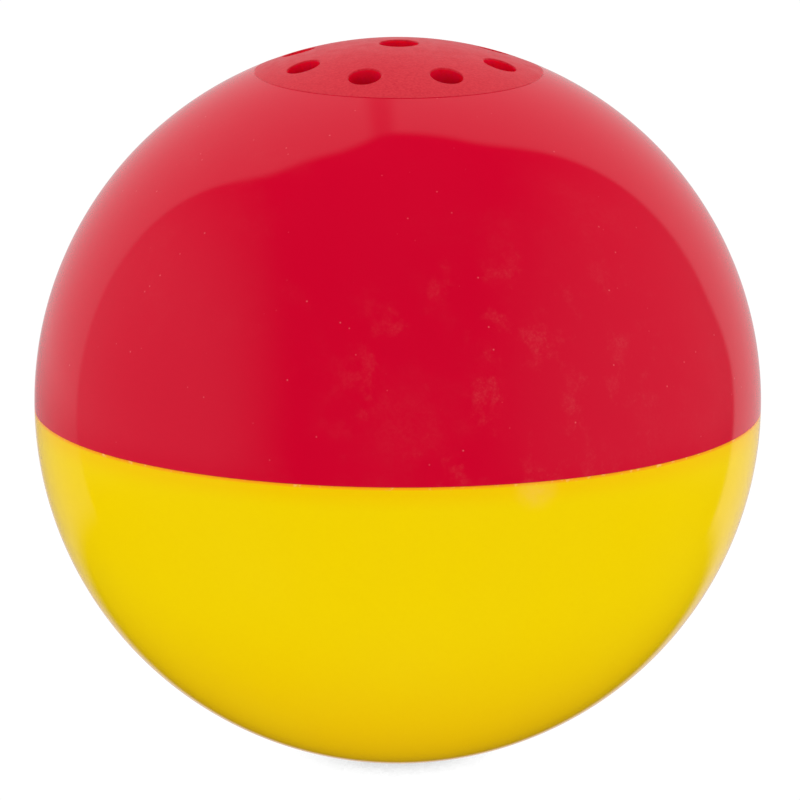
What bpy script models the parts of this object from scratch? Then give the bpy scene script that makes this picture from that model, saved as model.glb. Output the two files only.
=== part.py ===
"""A hard two-tone ball, 70 mm across, with a motion-triggered sound module inside.

The red upper half carries a nine-hole sound grille and lifts off the yellow lower half once the two case
screws are out. Everything electrical stands in the lower half on one moulded frame.
Frame: metres, origin at the ball's centre, +Z up through the grille, -Y to the front, +X to the right.
"""

import math

import bmesh
import bpy
from mathutils import Matrix, Vector

MM = 0.001

# Case
BALL_R = 35.0 * MM
WALL = 2.5 * MM
INNER_R = BALL_R - WALL
RIB_END_R = BALL_R - WALL / 2
GAP = 0.3 * MM
SEAM_Z = -0.6 * MM
TONGUE_OUTER_R = 33.5 * MM
TONGUE_TOP_Z = SEAM_Z + 2.2 * MM

# Sound grille, as angles from the ball's axis
GRILLE_EDGE = math.radians(23.15)
GRILLE_RAISE = 0.05 * MM
GRILLE_RING = math.radians(16.8)
GRILLE_COUNT = 8
GRILLE_FIRST = math.radians(26.5)
GRILLE_HOLE_R = 1.56 * MM
GRILLE_MIDDLE_R = 1.87 * MM

# Case screws and their bosses
BOSS_X = 24.5 * MM
UPPER_BOSS_R = 3.0 * MM
LOWER_BOSS_R = 4.0 * MM
CASE_SEAT_Z = -9.0 * MM
CASE_SCREW = {"head_r": 2.35 * MM, "head_h": 1.8 * MM, "shank_r": 1.3 * MM, "length": 17.0 * MM}
COUNTERBORE_R = 2.75 * MM
RIB_T = 1.6 * MM

# Module frame
PLATE_R = 28.2 * MM
PLATE_TOP_Z = -4.0 * MM
PLATE_T = 2.0 * MM
PLATE_LOW_Z = PLATE_TOP_Z - PLATE_T
POST_XY = (17.6 * MM, 14.8 * MM)
POST_R = 3.0 * MM
POST_TOP_Z = PLATE_LOW_Z - GAP
FRAME_SCREW = {"head_r": 1.9 * MM, "head_h": 1.3 * MM, "shank_r": 1.0 * MM, "length": 7.5 * MM}
LEG_T = 2.0 * MM
LEG_INNER = 14.6 * MM
SIDE_LEG_W = 8.0 * MM
BACK_LEG_W = 6.0 * MM

# Speaker, from its seat in the frame's cup upwards
CUP_OUTER_R = 15.6 * MM
CUP_INNER_R = 14.3 * MM
CUP_LEDGE_R = 12.6 * MM
CUP_LOW_Z = 22.8 * MM
LEDGE_Z = 25.3 * MM
FLANGE_R = 14.0 * MM
FLANGE_LOW_Z = LEDGE_Z + GAP
FLANGE_TOP_Z = FLANGE_LOW_Z + 0.8 * MM
GASKET_LOW_Z = FLANGE_TOP_Z + GAP
GASKET_TOP_Z = GASKET_LOW_Z + 1.0 * MM
GASKET_R = (12.4 * MM, 14.2 * MM)
SEAT_RING_Z = GASKET_TOP_Z + GAP
SEAT_RING_R = (12.6 * MM, 14.4 * MM)
BASKET_FLOOR_Z = 20.9 * MM
SHEET_T = 0.6 * MM
YOKE_R = 8.0 * MM
YOKE_LOW_Z = 16.2 * MM
YOKE_TOP_Z = BASKET_FLOOR_Z - GAP
POLE_R = 4.8 * MM
TERMINAL_T = 0.8 * MM
COIL_R = (5.15 * MM, 5.85 * MM)

# Circuit board
BOARD_X = 13.5 * MM
BOARD_Y = (-7.0 * MM, 13.8 * MM)
BOARD_T = 1.6 * MM
STANDOFF_H = 1.3 * MM
BOARD_LOW_Z = PLATE_TOP_Z + STANDOFF_H + GAP
BOARD_TOP_Z = BOARD_LOW_Z + BOARD_T
BOARD_SCREW_XY = (11.2 * MM, 11.2 * MM)
BOARD_PEG_XY = (11.2 * MM, -4.4 * MM)
BOARD_SCREW = {"head_r": 1.7 * MM, "head_h": 1.1 * MM, "shank_r": 0.85 * MM, "length": 4.2 * MM}
PART_Z = BOARD_TOP_Z + GAP

# Battery: three button cells end to end along X
CELL_R = 5.8 * MM
CELL_H = 5.4 * MM
CELL_Y = -17.0 * MM
CELL_Z = 0.6 * MM
CELL_FIRST_X = -9.6 * MM
BAY_R = 6.1 * MM
BAY_HALF = 10.6 * MM
BAY_BOX_X = 12.5 * MM
BAY_BOX_Y = 7.5 * MM
BAY_BOX_Z = (-7.5 * MM, 2.5 * MM)
CONTACT_T = 0.4 * MM
CONTACT_X = 9.9 * MM

# Motion switch: a soft coil standing round a fixed pin
SWITCH_XY = (-9.0 * MM, 1.5 * MM)
SPRING_R = 1.7 * MM
SPRING_WIRE_R = 0.25 * MM
SPRING_TURNS = 8
SPRING_H = 8.6 * MM
PIN_R = 0.4 * MM
PIN_H = 9.4 * MM

WIRE_R = 0.6 * MM
ROUND = 48
SMALL_ROUND = 16
CUT_END = 50.0 * MM


def clear_scene():
    for old in list(bpy.data.objects):
        bpy.data.objects.remove(old, do_unlink=True)


def material(name, colour, roughness, metallic=0.0):
    made = bpy.data.materials.new(name)
    made.use_nodes = True
    shader = made.node_tree.nodes["Principled BSDF"]
    shader.inputs["Base Color"].default_value = (*colour, 1.0)
    shader.inputs["Roughness"].default_value = roughness
    shader.inputs["Metallic"].default_value = metallic
    made.diffuse_color = (*colour, 1.0)
    return made


def group(name, location=(0, 0, 0)):
    """An empty that a body's pieces hang on, placed on that body's joint axis."""
    empty = bpy.data.objects.new(name, None)
    empty.location = location
    bpy.context.scene.collection.objects.link(empty)
    return empty


def solid(name, shape, look=None, parent=None, location=(0, 0, 0), rotation=(0, 0, 0)):
    """A named object from a bmesh, shaded smooth across gentle angles."""
    bmesh.ops.remove_doubles(shape, verts=shape.verts, dist=1e-7)
    bmesh.ops.recalc_face_normals(shape, faces=shape.faces)
    mesh = bpy.data.meshes.new(name)
    shape.to_mesh(mesh)
    shape.free()
    mesh.shade_smooth()
    mesh.set_sharp_from_angle(angle=math.radians(32))
    made = bpy.data.objects.new(name, mesh)
    bpy.context.scene.collection.objects.link(made)
    made.location = location
    made.rotation_euler = rotation
    if look:
        mesh.materials.append(look)
    if parent:
        made.parent = parent
        made.location = Vector(location) - parent.location
    return made


def boolean(target, operation, shape, name):
    """Adds, cuts or intersects a helper shape, which itself stays out of the model."""
    helper = shape if isinstance(shape, bpy.types.Object) else solid(name, shape)
    helper.hide_render = True
    helper.display_type = "WIRE"
    modifier = target.modifiers.new(name, "BOOLEAN")
    modifier.operation = operation
    modifier.solver = "EXACT"
    modifier.object = helper
    return helper


def lathe(outline, sides=ROUND):
    """Turns (radius, z) points round Z. An outline that doesn't end on the axis is closed into a ring."""
    shape = bmesh.new()
    points = [shape.verts.new((radius, 0, z)) for radius, z in outline]
    edges = [shape.edges.new(pair) for pair in zip(points, points[1:])]
    if outline[0][0] > 0 or outline[-1][0] > 0:
        edges.append(shape.edges.new((points[-1], points[0])))
    bmesh.ops.spin(
        shape,
        geom=points + edges,
        cent=(0, 0, 0),
        axis=(0, 0, 1),
        angle=math.tau,
        steps=sides,
        use_merge=True,
        use_duplicate=False,
    )
    return shape


def rod(radius, low, high, x=0.0, y=0.0, sides=SMALL_ROUND):
    """A solid cylinder along Z."""
    shape = bmesh.new()
    middle = Matrix.Translation((x, y, (low + high) / 2))
    bmesh.ops.create_cone(
        shape, cap_ends=True, segments=sides, radius1=radius, radius2=radius, depth=high - low, matrix=middle
    )
    return shape


def block(low, high, turn=0.0):
    """A box between two corners, turned round Z about the origin."""
    shape = bmesh.new()
    low, high = Vector(low), Vector(high)
    size = Matrix.Diagonal((*(high - low), 1))
    place = Matrix.Rotation(turn, 4, "Z") @ Matrix.Translation((low + high) / 2) @ size
    bmesh.ops.create_cube(shape, size=1, matrix=place)
    return shape


def extruded(outline, along):
    """A prism from a flat outline of 3-D points, drawn out by the given vector."""
    shape = bmesh.new()
    face = shape.faces.new([shape.verts.new(point) for point in outline])
    grown = bmesh.ops.extrude_face_region(shape, geom=[face])
    moved = [item for item in grown["geom"] if isinstance(item, bmesh.types.BMVert)]
    bmesh.ops.translate(shape, vec=along, verts=moved)
    return shape


def together(shapes):
    """One bmesh from several that don't meet."""
    whole = bmesh.new()
    for shape in shapes:
        mesh = bpy.data.meshes.new("scratch")
        shape.to_mesh(mesh)
        shape.free()
        whole.from_mesh(mesh)
        bpy.data.meshes.remove(mesh)
    return whole


def arc(radius, start, end, count):
    """(radius, z) points of a circle round the origin, by angle from +Z."""
    angles = [start + (end - start) * i / count for i in range(count + 1)]
    on_axis = (0.0, math.pi)
    return [(0.0 if a in on_axis else radius * math.sin(a), radius * math.cos(a)) for a in angles]


def angle_at(radius, z):
    """The angle from +Z at which a circle of that radius reaches height z."""
    return math.acos(z / radius)


def smooth_route(points, per_span=6):
    """Points along a Catmull-Rom curve through the given ones."""
    knots = [Vector(p) for p in points]
    knots = [2 * knots[0] - knots[1]] + knots + [2 * knots[-1] - knots[-2]]
    found = []
    for a, b, c, d in zip(knots, knots[1:], knots[2:], knots[3:]):
        for i in range(per_span):
            t = i / per_span
            square = (2 * a - 5 * b + 4 * c - d) * t**2
            cube = (3 * b - a - 3 * c + d) * t**3
            found.append((2 * b + (c - a) * t + square + cube) / 2)
    return found + [knots[-2]]


def tube(name, points, radius, look, parent, location=(0, 0, 0), resolution=2):
    """A round wire along points, as a bevelled curve with filled caps."""
    line = bpy.data.curves.new(name, "CURVE")
    line.dimensions = "3D"
    line.bevel_depth = radius
    line.bevel_resolution = resolution
    line.use_fill_caps = True
    line.materials.append(look)
    spline = line.splines.new("POLY")
    spline.points.add(len(points) - 1)
    for knot, point in zip(spline.points, points):
        knot.co = (*point, 1)
    made = bpy.data.objects.new(name, line)
    bpy.context.scene.collection.objects.link(made)
    made.parent = parent
    made.location = Vector(location) - parent.location
    return made


def trimmed_ribs(name, shapes):
    """Bosses and ribs joined together and ended inside the wall's thickness."""
    ribs = solid(name, shapes[0])
    for number, shape in enumerate(shapes[1:], 1):
        boolean(ribs, "UNION", shape, f"{name}_{number}")
    boolean(ribs, "INTERSECT", lathe(arc(RIB_END_R, 0, math.pi, 20), 40), f"{name}_limit")
    return ribs


def make_upper_shell(look, parent):
    rim_z = SEAM_Z + GAP
    rabbet_r = TONGUE_OUTER_R + GAP
    rabbet_z = TONGUE_TOP_Z + GAP
    outline = arc(BALL_R + GRILLE_RAISE, 0, GRILLE_EDGE, 3)
    outline += arc(BALL_R, GRILLE_EDGE, angle_at(BALL_R, rim_z), 8)
    outline += [(rabbet_r, rim_z), (rabbet_r, rabbet_z)]
    outline += arc(INNER_R, angle_at(INNER_R, rabbet_z), 0, 8)
    shell = solid("upper_shell", lathe(outline), look, parent)

    shapes = [rod(UPPER_BOSS_R, rim_z, CUT_END, side * BOSS_X) for side in (-1, 1)]
    for side in (-1, 1):
        across = sorted((side * BOSS_X, side * BALL_R))
        low = (across[0], -RIB_T / 2, rabbet_z + GAP)
        shapes.append(block(low, (across[1], RIB_T / 2, 14 * MM)))
    inner, outer = SEAT_RING_R
    shapes.append(lathe([(inner, SEAT_RING_Z), (outer, SEAT_RING_Z), (outer, CUT_END), (inner, CUT_END)]))
    boolean(shell, "UNION", trimmed_ribs("upper_ribs", shapes), "upper_ribs")

    ring_r = BALL_R * math.sin(GRILLE_RING)
    turns = [GRILLE_FIRST + math.tau * i / GRILLE_COUNT for i in range(GRILLE_COUNT)]
    places = [(ring_r * math.cos(turn), ring_r * math.sin(turn)) for turn in turns]
    holes = [rod(GRILLE_HOLE_R, 25 * MM, CUT_END, x, y) for x, y in places]
    holes.append(rod(GRILLE_MIDDLE_R, 25 * MM, CUT_END))
    boolean(shell, "DIFFERENCE", together(holes), "grille_holes")

    pilot_r = CASE_SCREW["shank_r"] + GAP
    pilots = [rod(pilot_r, rim_z - 1 * MM, 9.5 * MM, side * BOSS_X) for side in (-1, 1)]
    boolean(shell, "DIFFERENCE", together(pilots), "upper_pilots")


def post_places():
    x, y = POST_XY
    return [(-x, -y), (x, -y), (x, y), (-x, y)]


def make_lower_shell(look, parent):
    outline = arc(INNER_R, math.pi, angle_at(INNER_R, SEAM_Z), 8)
    outline += [(INNER_R, TONGUE_TOP_Z), (TONGUE_OUTER_R, TONGUE_TOP_Z), (TONGUE_OUTER_R, SEAM_Z)]
    outline += arc(BALL_R, angle_at(BALL_R, SEAM_Z), math.pi, 10)
    shell = solid("lower_shell", lathe(outline), look, parent)

    shapes = [rod(LOWER_BOSS_R, -CUT_END, SEAM_Z, side * BOSS_X, sides=20) for side in (-1, 1)]
    for side in (-1, 1):
        across = sorted((side * BOSS_X, side * BALL_R))
        shapes.append(block((across[0], -RIB_T / 2, -20 * MM), (across[1], RIB_T / 2, SEAM_Z - 1 * MM)))
    shapes += [rod(POST_R, -CUT_END, POST_TOP_Z, x, y) for x, y in post_places()]
    boolean(shell, "UNION", trimmed_ribs("lower_ribs", shapes), "lower_ribs")

    shank_r = CASE_SCREW["shank_r"] + GAP
    for side, label in ((-1, "left"), (1, "right")):
        counterbore = rod(COUNTERBORE_R, -CUT_END, CASE_SEAT_Z, side * BOSS_X)
        boolean(shell, "DIFFERENCE", counterbore, f"counterbore_{label}")
        hole = rod(shank_r, CASE_SEAT_Z - 1 * MM, 3 * MM, side * BOSS_X)
        boolean(shell, "DIFFERENCE", hole, f"shank_hole_{label}")
    pilot_r = FRAME_SCREW["shank_r"] + GAP
    pilots = [rod(pilot_r, -13 * MM, 0, x, y, 12) for x, y in post_places()]
    boolean(shell, "DIFFERENCE", together(pilots), "post_pilots")


def make_screw(name, size, look, parent, seat, upside_down=False):
    """A pan-head cross-recess screw with its seat at the origin and its shank along -Z."""
    head_r, head_h, shank_r, length = (size[key] for key in ("head_r", "head_h", "shank_r", "length"))
    outline = [(0, head_h), (head_r * 0.55, head_h * 0.94), (head_r * 0.85, head_h * 0.7)]
    outline += [(head_r, head_h * 0.3), (head_r, 0), (shank_r, 0), (shank_r, -length + shank_r), (0, -length)]
    turn = (math.pi, 0, 0) if upside_down else (0, 0, 0)
    screw = solid(name, lathe(outline, 12), look, parent, seat, turn)
    long, thin = head_r * 0.55, head_r * 0.13
    slots = [block((-a, -b, head_h * 0.35), (a, b, head_h * 2)) for a, b in ((long, thin), (thin, long))]
    for number, slot in enumerate(slots):
        cutter = boolean(screw, "DIFFERENCE", slot, f"{name}_slot_{number}")
        cutter.parent = screw
    return screw


def make_case_screws(look, parent):
    for side, label in ((-1, "left"), (1, "right")):
        seat = (side * BOSS_X, 0, CASE_SEAT_Z - GAP)
        make_screw(f"case_screw_{label}", CASE_SCREW, look, parent, seat, upside_down=True)


def cell_bay_cutters():
    """The open-topped round bed of the cells, and a notch to lift a cell by."""
    turns = [math.pi + math.pi * i / 12 for i in range(13)]
    outline = [(CELL_Y + BAY_R * math.cos(t), CELL_Z + BAY_R * math.sin(t)) for t in turns]
    outline += [(CELL_Y + BAY_R, 20 * MM), (CELL_Y - BAY_R, 20 * MM)]
    bed = extruded([(-BAY_HALF, y, z) for y, z in outline], (2 * BAY_HALF, 0, 0))
    notch = block((-3.5 * MM, CELL_Y - 9 * MM, -1.5 * MM), (3.5 * MM, CELL_Y, 21 * MM))
    return {"bay_bed": bed, "bay_notch": notch}


def make_module_frame(look, parent):
    """Base plate with the battery bay, three legs and the speaker's cup."""
    frame = solid("module_frame", rod(PLATE_R, PLATE_LOW_Z, PLATE_TOP_Z, sides=ROUND), look, parent)
    low_z, high_z = BAY_BOX_Z
    bay = block((-BAY_BOX_X, CELL_Y - BAY_BOX_Y, low_z), (BAY_BOX_X, CELL_Y + BAY_BOX_Y, high_z))
    boolean(frame, "UNION", bay, "bay_walls")
    cup = [(CUP_LEDGE_R, CUP_LOW_Z), (CUP_OUTER_R, CUP_LOW_Z), (CUP_OUTER_R, FLANGE_TOP_Z)]
    cup += [(CUP_INNER_R, FLANGE_TOP_Z), (CUP_INNER_R, LEDGE_Z), (CUP_LEDGE_R, LEDGE_Z)]
    boolean(frame, "UNION", lathe(cup), "speaker_cup")
    foot_z, top_z = PLATE_TOP_Z - 1 * MM, CUP_LOW_Z + 1.5 * MM
    legs = (("right", SIDE_LEG_W, 0), ("back", BACK_LEG_W, math.pi / 2), ("left", SIDE_LEG_W, math.pi))
    for label, width, turn in legs:
        leg = block((LEG_INNER, -width / 2, foot_z), (LEG_INNER + LEG_T, width / 2, top_z), turn)
        boolean(frame, "UNION", leg, f"leg_{label}")
    for number, (x, y) in enumerate(board_supports()):
        standoff = rod(2.0 * MM, PLATE_TOP_Z - 0.5 * MM, PLATE_TOP_Z + STANDOFF_H, x, y, 12)
        boolean(frame, "UNION", standoff, f"standoff_{number}")

    notches = [rod(LOWER_BOSS_R + 2 * GAP, -CUT_END, CUT_END, side * BOSS_X, sides=20) for side in (-1, 1)]
    boolean(frame, "DIFFERENCE", together(notches), "boss_notches")
    for name, cutter in cell_bay_cutters().items():
        boolean(frame, "DIFFERENCE", cutter, name)
    clear_r = FRAME_SCREW["shank_r"] + GAP
    holes = [rod(clear_r, -CUT_END, CUT_END, x, y, 12) for x, y in post_places()]
    pilot_r = BOARD_SCREW["shank_r"] + GAP
    holes += [rod(pilot_r, -CUT_END, 5 * MM, x, y, 12) for x, y in board_supports()[:2]]
    boolean(frame, "DIFFERENCE", together(holes), "screw_holes")


def board_supports():
    """Standoffs under the board: the two that take screws, then the two plain ones."""
    return [(side * x, y) for x, y in (BOARD_SCREW_XY, BOARD_PEG_XY) for side in (-1, 1)]


def make_frame_screws(look, parent):
    for number, (x, y) in enumerate(post_places(), 1):
        make_screw(f"frame_screw_{number}", FRAME_SCREW, look, parent, (x, y, PLATE_TOP_Z + GAP))


def make_speaker(looks, parent, moving):
    """A 28 mm inside-magnet speaker, face up. The diaphragm and its coil move together."""
    inner, outer = GASKET_R
    gasket = [(inner, GASKET_LOW_Z), (outer, GASKET_LOW_Z), (outer, GASKET_TOP_Z), (inner, GASKET_TOP_Z)]
    solid("speaker_gasket", lathe(gasket, 40), looks["foam"], parent)

    floor_top = BASKET_FLOOR_Z + SHEET_T
    basket = [(11.9 * MM, FLANGE_TOP_Z), (8.6 * MM, floor_top), (6.7 * MM, floor_top)]
    basket += [(6.7 * MM, BASKET_FLOOR_Z), (9.0 * MM, BASKET_FLOOR_Z), (12.3 * MM, FLANGE_LOW_Z)]
    basket += [(FLANGE_R, FLANGE_LOW_Z), (FLANGE_R, FLANGE_TOP_Z)]
    body = solid("speaker_basket", lathe(basket, 40), looks["steel"], parent)
    windows = [
        block((7.5 * MM, -2.8 * MM, 22.2 * MM), (14 * MM, 2.8 * MM, 24.9 * MM), math.pi / 4 + i * math.pi / 2)
        for i in range(4)
    ]
    boolean(body, "DIFFERENCE", together(windows), "basket_windows")

    floor = YOKE_LOW_Z + 1.2 * MM
    yoke = [(0, YOKE_LOW_Z), (YOKE_R - 0.4 * MM, YOKE_LOW_Z), (YOKE_R, YOKE_LOW_Z + 0.4 * MM)]
    yoke += [(YOKE_R, YOKE_TOP_Z), (6.3 * MM, YOKE_TOP_Z), (6.3 * MM, floor), (0, floor)]
    solid("magnet_cup", lathe(yoke, 32), looks["zinc"], parent)
    magnet_top = floor + GAP + 1.9 * MM
    magnet = rod(POLE_R - 0.2 * MM, floor + GAP, magnet_top, sides=24)
    solid("speaker_magnet", magnet, looks["magnet"], parent)
    plate_low = magnet_top + GAP
    solid("pole_plate", rod(POLE_R, plate_low, plate_low + 0.8 * MM, sides=24), looks["zinc"], parent)

    skin = 0.3 * MM
    face = [(0, 25.7), (2.6, 25.4), (4.6, 24.7), (5.5, 24.2), (8.6, 25.3)]
    face += [(9.5, 25.9), (10.2, 25.9), (10.6, 25.6)]
    face = [(r * MM, z * MM) for r, z in face]
    outline = face + [(r, z - skin) for r, z in reversed(face)]
    solid("speaker_diaphragm", lathe(outline, 24), looks["film"], moving)
    inner, outer = COIL_R
    coil = [(inner, 19.4 * MM), (outer, 19.4 * MM), (outer, 21.4 * MM), (inner + 0.3 * MM, 21.6 * MM)]
    coil += [(inner + 0.3 * MM, 23.6 * MM), (inner, 23.6 * MM)]
    solid("voice_coil", lathe(coil, 24), looks["copper"], moving)

    board = block((-4 * MM, 8.4 * MM, YOKE_TOP_Z - TERMINAL_T), (4 * MM, 13.3 * MM, YOKE_TOP_Z))
    solid("speaker_terminal_board", board, looks["board"], parent)


def make_circuit_board(looks, parent):
    """The board and what is soldered to it, apart from the motion switch."""
    x, (front, back) = BOARD_X, BOARD_Y
    laminate = block((-x, front, BOARD_LOW_Z), (x, back, BOARD_TOP_Z))
    board = solid("circuit_board", laminate, looks["board"], parent)
    clear_r = BOARD_SCREW["shank_r"] + GAP
    holes = [rod(clear_r, -CUT_END, CUT_END, hx, hy, 12) for hx, hy in board_supports()[:2]]
    boolean(board, "DIFFERENCE", together(holes), "board_holes")
    for (sx, sy), label in zip(board_supports()[:2], ("left", "right")):
        make_screw(f"board_screw_{label}", BOARD_SCREW, looks["zinc"], parent, (sx, sy, PART_Z))

    dome = [(4.2, 0), (4.15, 0.35), (3.6, 0.95), (2.4, 1.4), (1.2, 1.6), (0, 1.65)]
    dome = [(0, 0)] + [(r * MM, z * MM) for r, z in dome]
    solid("sound_chip_cover", lathe(dome, 24), looks["epoxy"], parent, (-1.8 * MM, 2.8 * MM, PART_Z))

    can = [(0, 0), (2.2, 0), (2.2, 0.4), (2.5, 0.8), (2.5, 6.7), (2.2, 7.0), (0, 7.0)]
    can = [(r * MM, z * MM) for r, z in can]
    solid("capacitor", lathe(can, 20), looks["sleeve"], parent, (7.2 * MM, 5.4 * MM, PART_Z))

    transistor = rod(2.4 * MM, 1.2 * MM, 5.8 * MM, sides=20)
    flat = block((-5 * MM, -5 * MM, 0), (5 * MM, -1.3 * MM, 10 * MM))
    part = solid("transistor", transistor, looks["epoxy"], parent, (8.4 * MM, -2.2 * MM, PART_Z))
    cutter = boolean(part, "DIFFERENCE", flat, "transistor_flat")
    cutter.parent = part
    for number, leg_x in enumerate((-1.27 * MM, 0, 1.27 * MM)):
        leg = block((leg_x - 0.25 * MM, -0.25 * MM, 0), (leg_x + 0.25 * MM, 0.25 * MM, 1.6 * MM))
        helper = boolean(part, "UNION", leg, f"transistor_leg_{number}")
        helper.parent = part

    bead = [(0, -5.0), (0.3, -5.0), (0.3, -3.2), (0.85, -2.9), (1.05, -2.4), (0.85, -1.9), (0.85, 1.9)]
    bead += [(1.05, 2.4), (0.85, 2.9), (0.3, 3.2), (0.3, 5.0), (0, 5.0)]
    bead = [(r * MM, z * MM) for r, z in bead]
    place = (0.6 * MM, -4.6 * MM, PART_Z + 1.05 * MM)
    solid("resistor", lathe(bead, 12), looks["resistor"], parent, place, (0, math.pi / 2, 0))


def make_motion_switch(look, parent, pivot):
    x, y = SWITCH_XY
    solid("motion_pin", rod(PIN_R, PART_Z, PART_Z + PIN_H, x, y, 10), look, parent)
    steps = 10
    rise = SPRING_H / (SPRING_TURNS * steps)
    points = []
    for i in range(SPRING_TURNS * steps + 1):
        turn = math.tau * i / steps
        points.append((SPRING_R * math.cos(turn), SPRING_R * math.sin(turn), SPRING_WIRE_R + rise * i))
    tube("motion_spring", points, SPRING_WIRE_R, look, pivot, (x, y, PART_Z), resolution=1)


def make_battery(looks, parent):
    """Three cells, positive cans to -X, between a flat contact and a sprung one."""
    cell = [(0, 0), (5.5, 0), (5.8, 0.3), (5.8, 4.9), (5.5, 5.15), (4.9, 5.15), (4.8, 5.4), (0, 5.4)]
    cell = [(r * MM, z * MM) for r, z in cell]
    for number in range(3):
        x = CELL_FIRST_X + number * (CELL_H + GAP)
        place = (x, CELL_Y, CELL_Z)
        solid(f"button_cell_{number + 1}", lathe(cell, 28), looks["cell"], parent, place, (0, math.pi / 2, 0))

    width, tab_width = 8.0 * MM, 3.0 * MM
    low_z, shoulder_z, tab_z = -3.2 * MM, 4.0 * MM, 7.2 * MM
    back = -CONTACT_X - CONTACT_T
    plate = block((back, CELL_Y - width / 2, low_z), (-CONTACT_X, CELL_Y + width / 2, shoulder_z))
    positive = solid("battery_contact_positive", plate, looks["nickel"], parent)
    tab_low = (back, CELL_Y - tab_width / 2, shoulder_z - 1 * MM)
    boolean(positive, "UNION", block(tab_low, (-CONTACT_X, CELL_Y + tab_width / 2, tab_z)), "positive_tab")

    back, nose = CONTACT_X, 7.5 * MM
    rear = back + CONTACT_T
    outer = [(rear, tab_z), (rear, low_z), (nose, 0.4 * MM), (nose + 0.5 * MM, 2.6 * MM)]
    inner = [(nose + 0.9 * MM, 2.5 * MM), (nose + 0.45 * MM, 0.5 * MM)]
    inner += [(back, low_z + 0.9 * MM), (back, tab_z)]
    leaf = extruded([(x, CELL_Y - width / 4, z) for x, z in outer + inner], (0, width / 2, 0))
    solid("battery_contact_negative", leaf, looks["nickel"], parent)


def make_wires(looks, parent):
    """The four links, each through a few points given in millimetres."""
    top = (YOKE_TOP_Z - TERMINAL_T - GAP) / MM
    foot = (BOARD_TOP_Z + GAP) / MM
    clear = (CONTACT_X + CONTACT_T + GAP + WIRE_R) / MM
    routes = {
        "speaker_wire_red": [(-2.4, 11, top), (-2.6, 11.3, 17), (-4.4, 12.2, 11), (-4.8, 12.4, 5)],
        "speaker_wire_black": [(2.4, 11, top), (2.6, 11.4, 17), (3.6, 12.4, 12), (3.8, 12.4, 6)],
        "battery_wire_red": [(-clear, -15.8, 5.6), (-11.2, -13.6, 5.2), (-11.4, -9.4, 4), (-10.8, -6.6, 2)],
        "battery_wire_black": [(clear, -15.8, 5.6), (11.4, -13.4, 5), (10.4, -9.4, 3.6), (6, -6.8, 2)],
    }
    routes["speaker_wire_red"].append((-4.2, 11.6, foot))
    routes["speaker_wire_black"].append((2.6, 11.6, foot))
    routes["battery_wire_red"].append((-10.2, -5.6, foot))
    routes["battery_wire_black"].append((4.4, -6, foot))
    for name, points in routes.items():
        route = [Vector(point) * MM for point in points]
        tube(name, smooth_route(route, 5), WIRE_R, looks[name.split("_")[-1]], parent)


def build():
    clear_scene()
    looks = {
        "red_case": material("red_case", (0.60, 0.004, 0.020), 0.22),
        "yellow_case": material("yellow_case", (0.88, 0.62, 0.002), 0.25),
        "frame": material("frame_plastic", (0.03, 0.03, 0.035), 0.55),
        "zinc": material("zinc_plate", (0.62, 0.62, 0.60), 0.32, 1.0),
        "steel": material("speaker_steel", (0.55, 0.55, 0.54), 0.38, 1.0),
        "magnet": material("magnet_nickel", (0.66, 0.65, 0.62), 0.25, 1.0),
        "film": material("mylar_film", (0.55, 0.50, 0.42), 0.2),
        "copper": material("copper_winding", (0.75, 0.33, 0.14), 0.35, 1.0),
        "foam": material("black_foam", (0.02, 0.02, 0.02), 0.95),
        "board": material("circuit_laminate", (0.03, 0.22, 0.08), 0.4),
        "epoxy": material("black_epoxy", (0.015, 0.015, 0.015), 0.3),
        "sleeve": material("capacitor_sleeve", (0.02, 0.05, 0.16), 0.35),
        "resistor": material("resistor_body", (0.62, 0.45, 0.25), 0.5),
        "cell": material("cell_steel", (0.70, 0.70, 0.68), 0.22, 1.0),
        "nickel": material("contact_nickel", (0.70, 0.68, 0.62), 0.28, 1.0),
        "red": material("red_insulation", (0.55, 0.02, 0.02), 0.45),
        "black": material("black_insulation", (0.02, 0.02, 0.02), 0.45),
    }
    lower = group("lower_half")
    upper = group("upper_half")
    diaphragm = group("diaphragm_travel")
    switch = group("motion_spring_foot", (*SWITCH_XY, PART_Z))

    make_upper_shell(looks["red_case"], upper)
    make_lower_shell(looks["yellow_case"], lower)
    make_case_screws(looks["zinc"], lower)
    make_module_frame(looks["frame"], lower)
    make_frame_screws(looks["zinc"], lower)
    make_speaker(looks, lower, diaphragm)
    make_circuit_board(looks, lower)
    make_motion_switch(looks["nickel"], lower, switch)
    make_battery(looks, lower)
    make_wires(looks, lower)


build()
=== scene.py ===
"""The finished look of a two-tone sound ball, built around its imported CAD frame.

Pieces are modelled in the row frame, in metres. The origin is the ball's centre, +Z goes out through the
grille and -Y is the front. Outlines are written in millimetres and scaled as they are built.
"""

import math

import bmesh
import bpy
from mathutils import Matrix, Vector, geometry, noise


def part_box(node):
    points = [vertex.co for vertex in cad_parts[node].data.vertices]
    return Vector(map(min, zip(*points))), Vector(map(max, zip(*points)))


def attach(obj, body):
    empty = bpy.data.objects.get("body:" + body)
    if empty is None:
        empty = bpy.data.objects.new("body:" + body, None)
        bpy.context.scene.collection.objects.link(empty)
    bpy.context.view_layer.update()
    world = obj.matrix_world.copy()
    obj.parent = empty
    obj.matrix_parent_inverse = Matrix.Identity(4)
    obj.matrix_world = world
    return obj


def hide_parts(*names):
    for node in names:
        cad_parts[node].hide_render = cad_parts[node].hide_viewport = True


MM = 0.001

# The ball, in millimetres
BALL_R = 35.0
INNER_R = 32.5
SEAM_Z = -0.47
SEAM_HALF = 0.005
EDGE_R = 0.035
TONGUE_R = (31.85, 33.5)
TONGUE_TOP = 1.6
RABBET_R = 33.8
RABBET_TOP = 1.9
BALL_SIDES = 192

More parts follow.
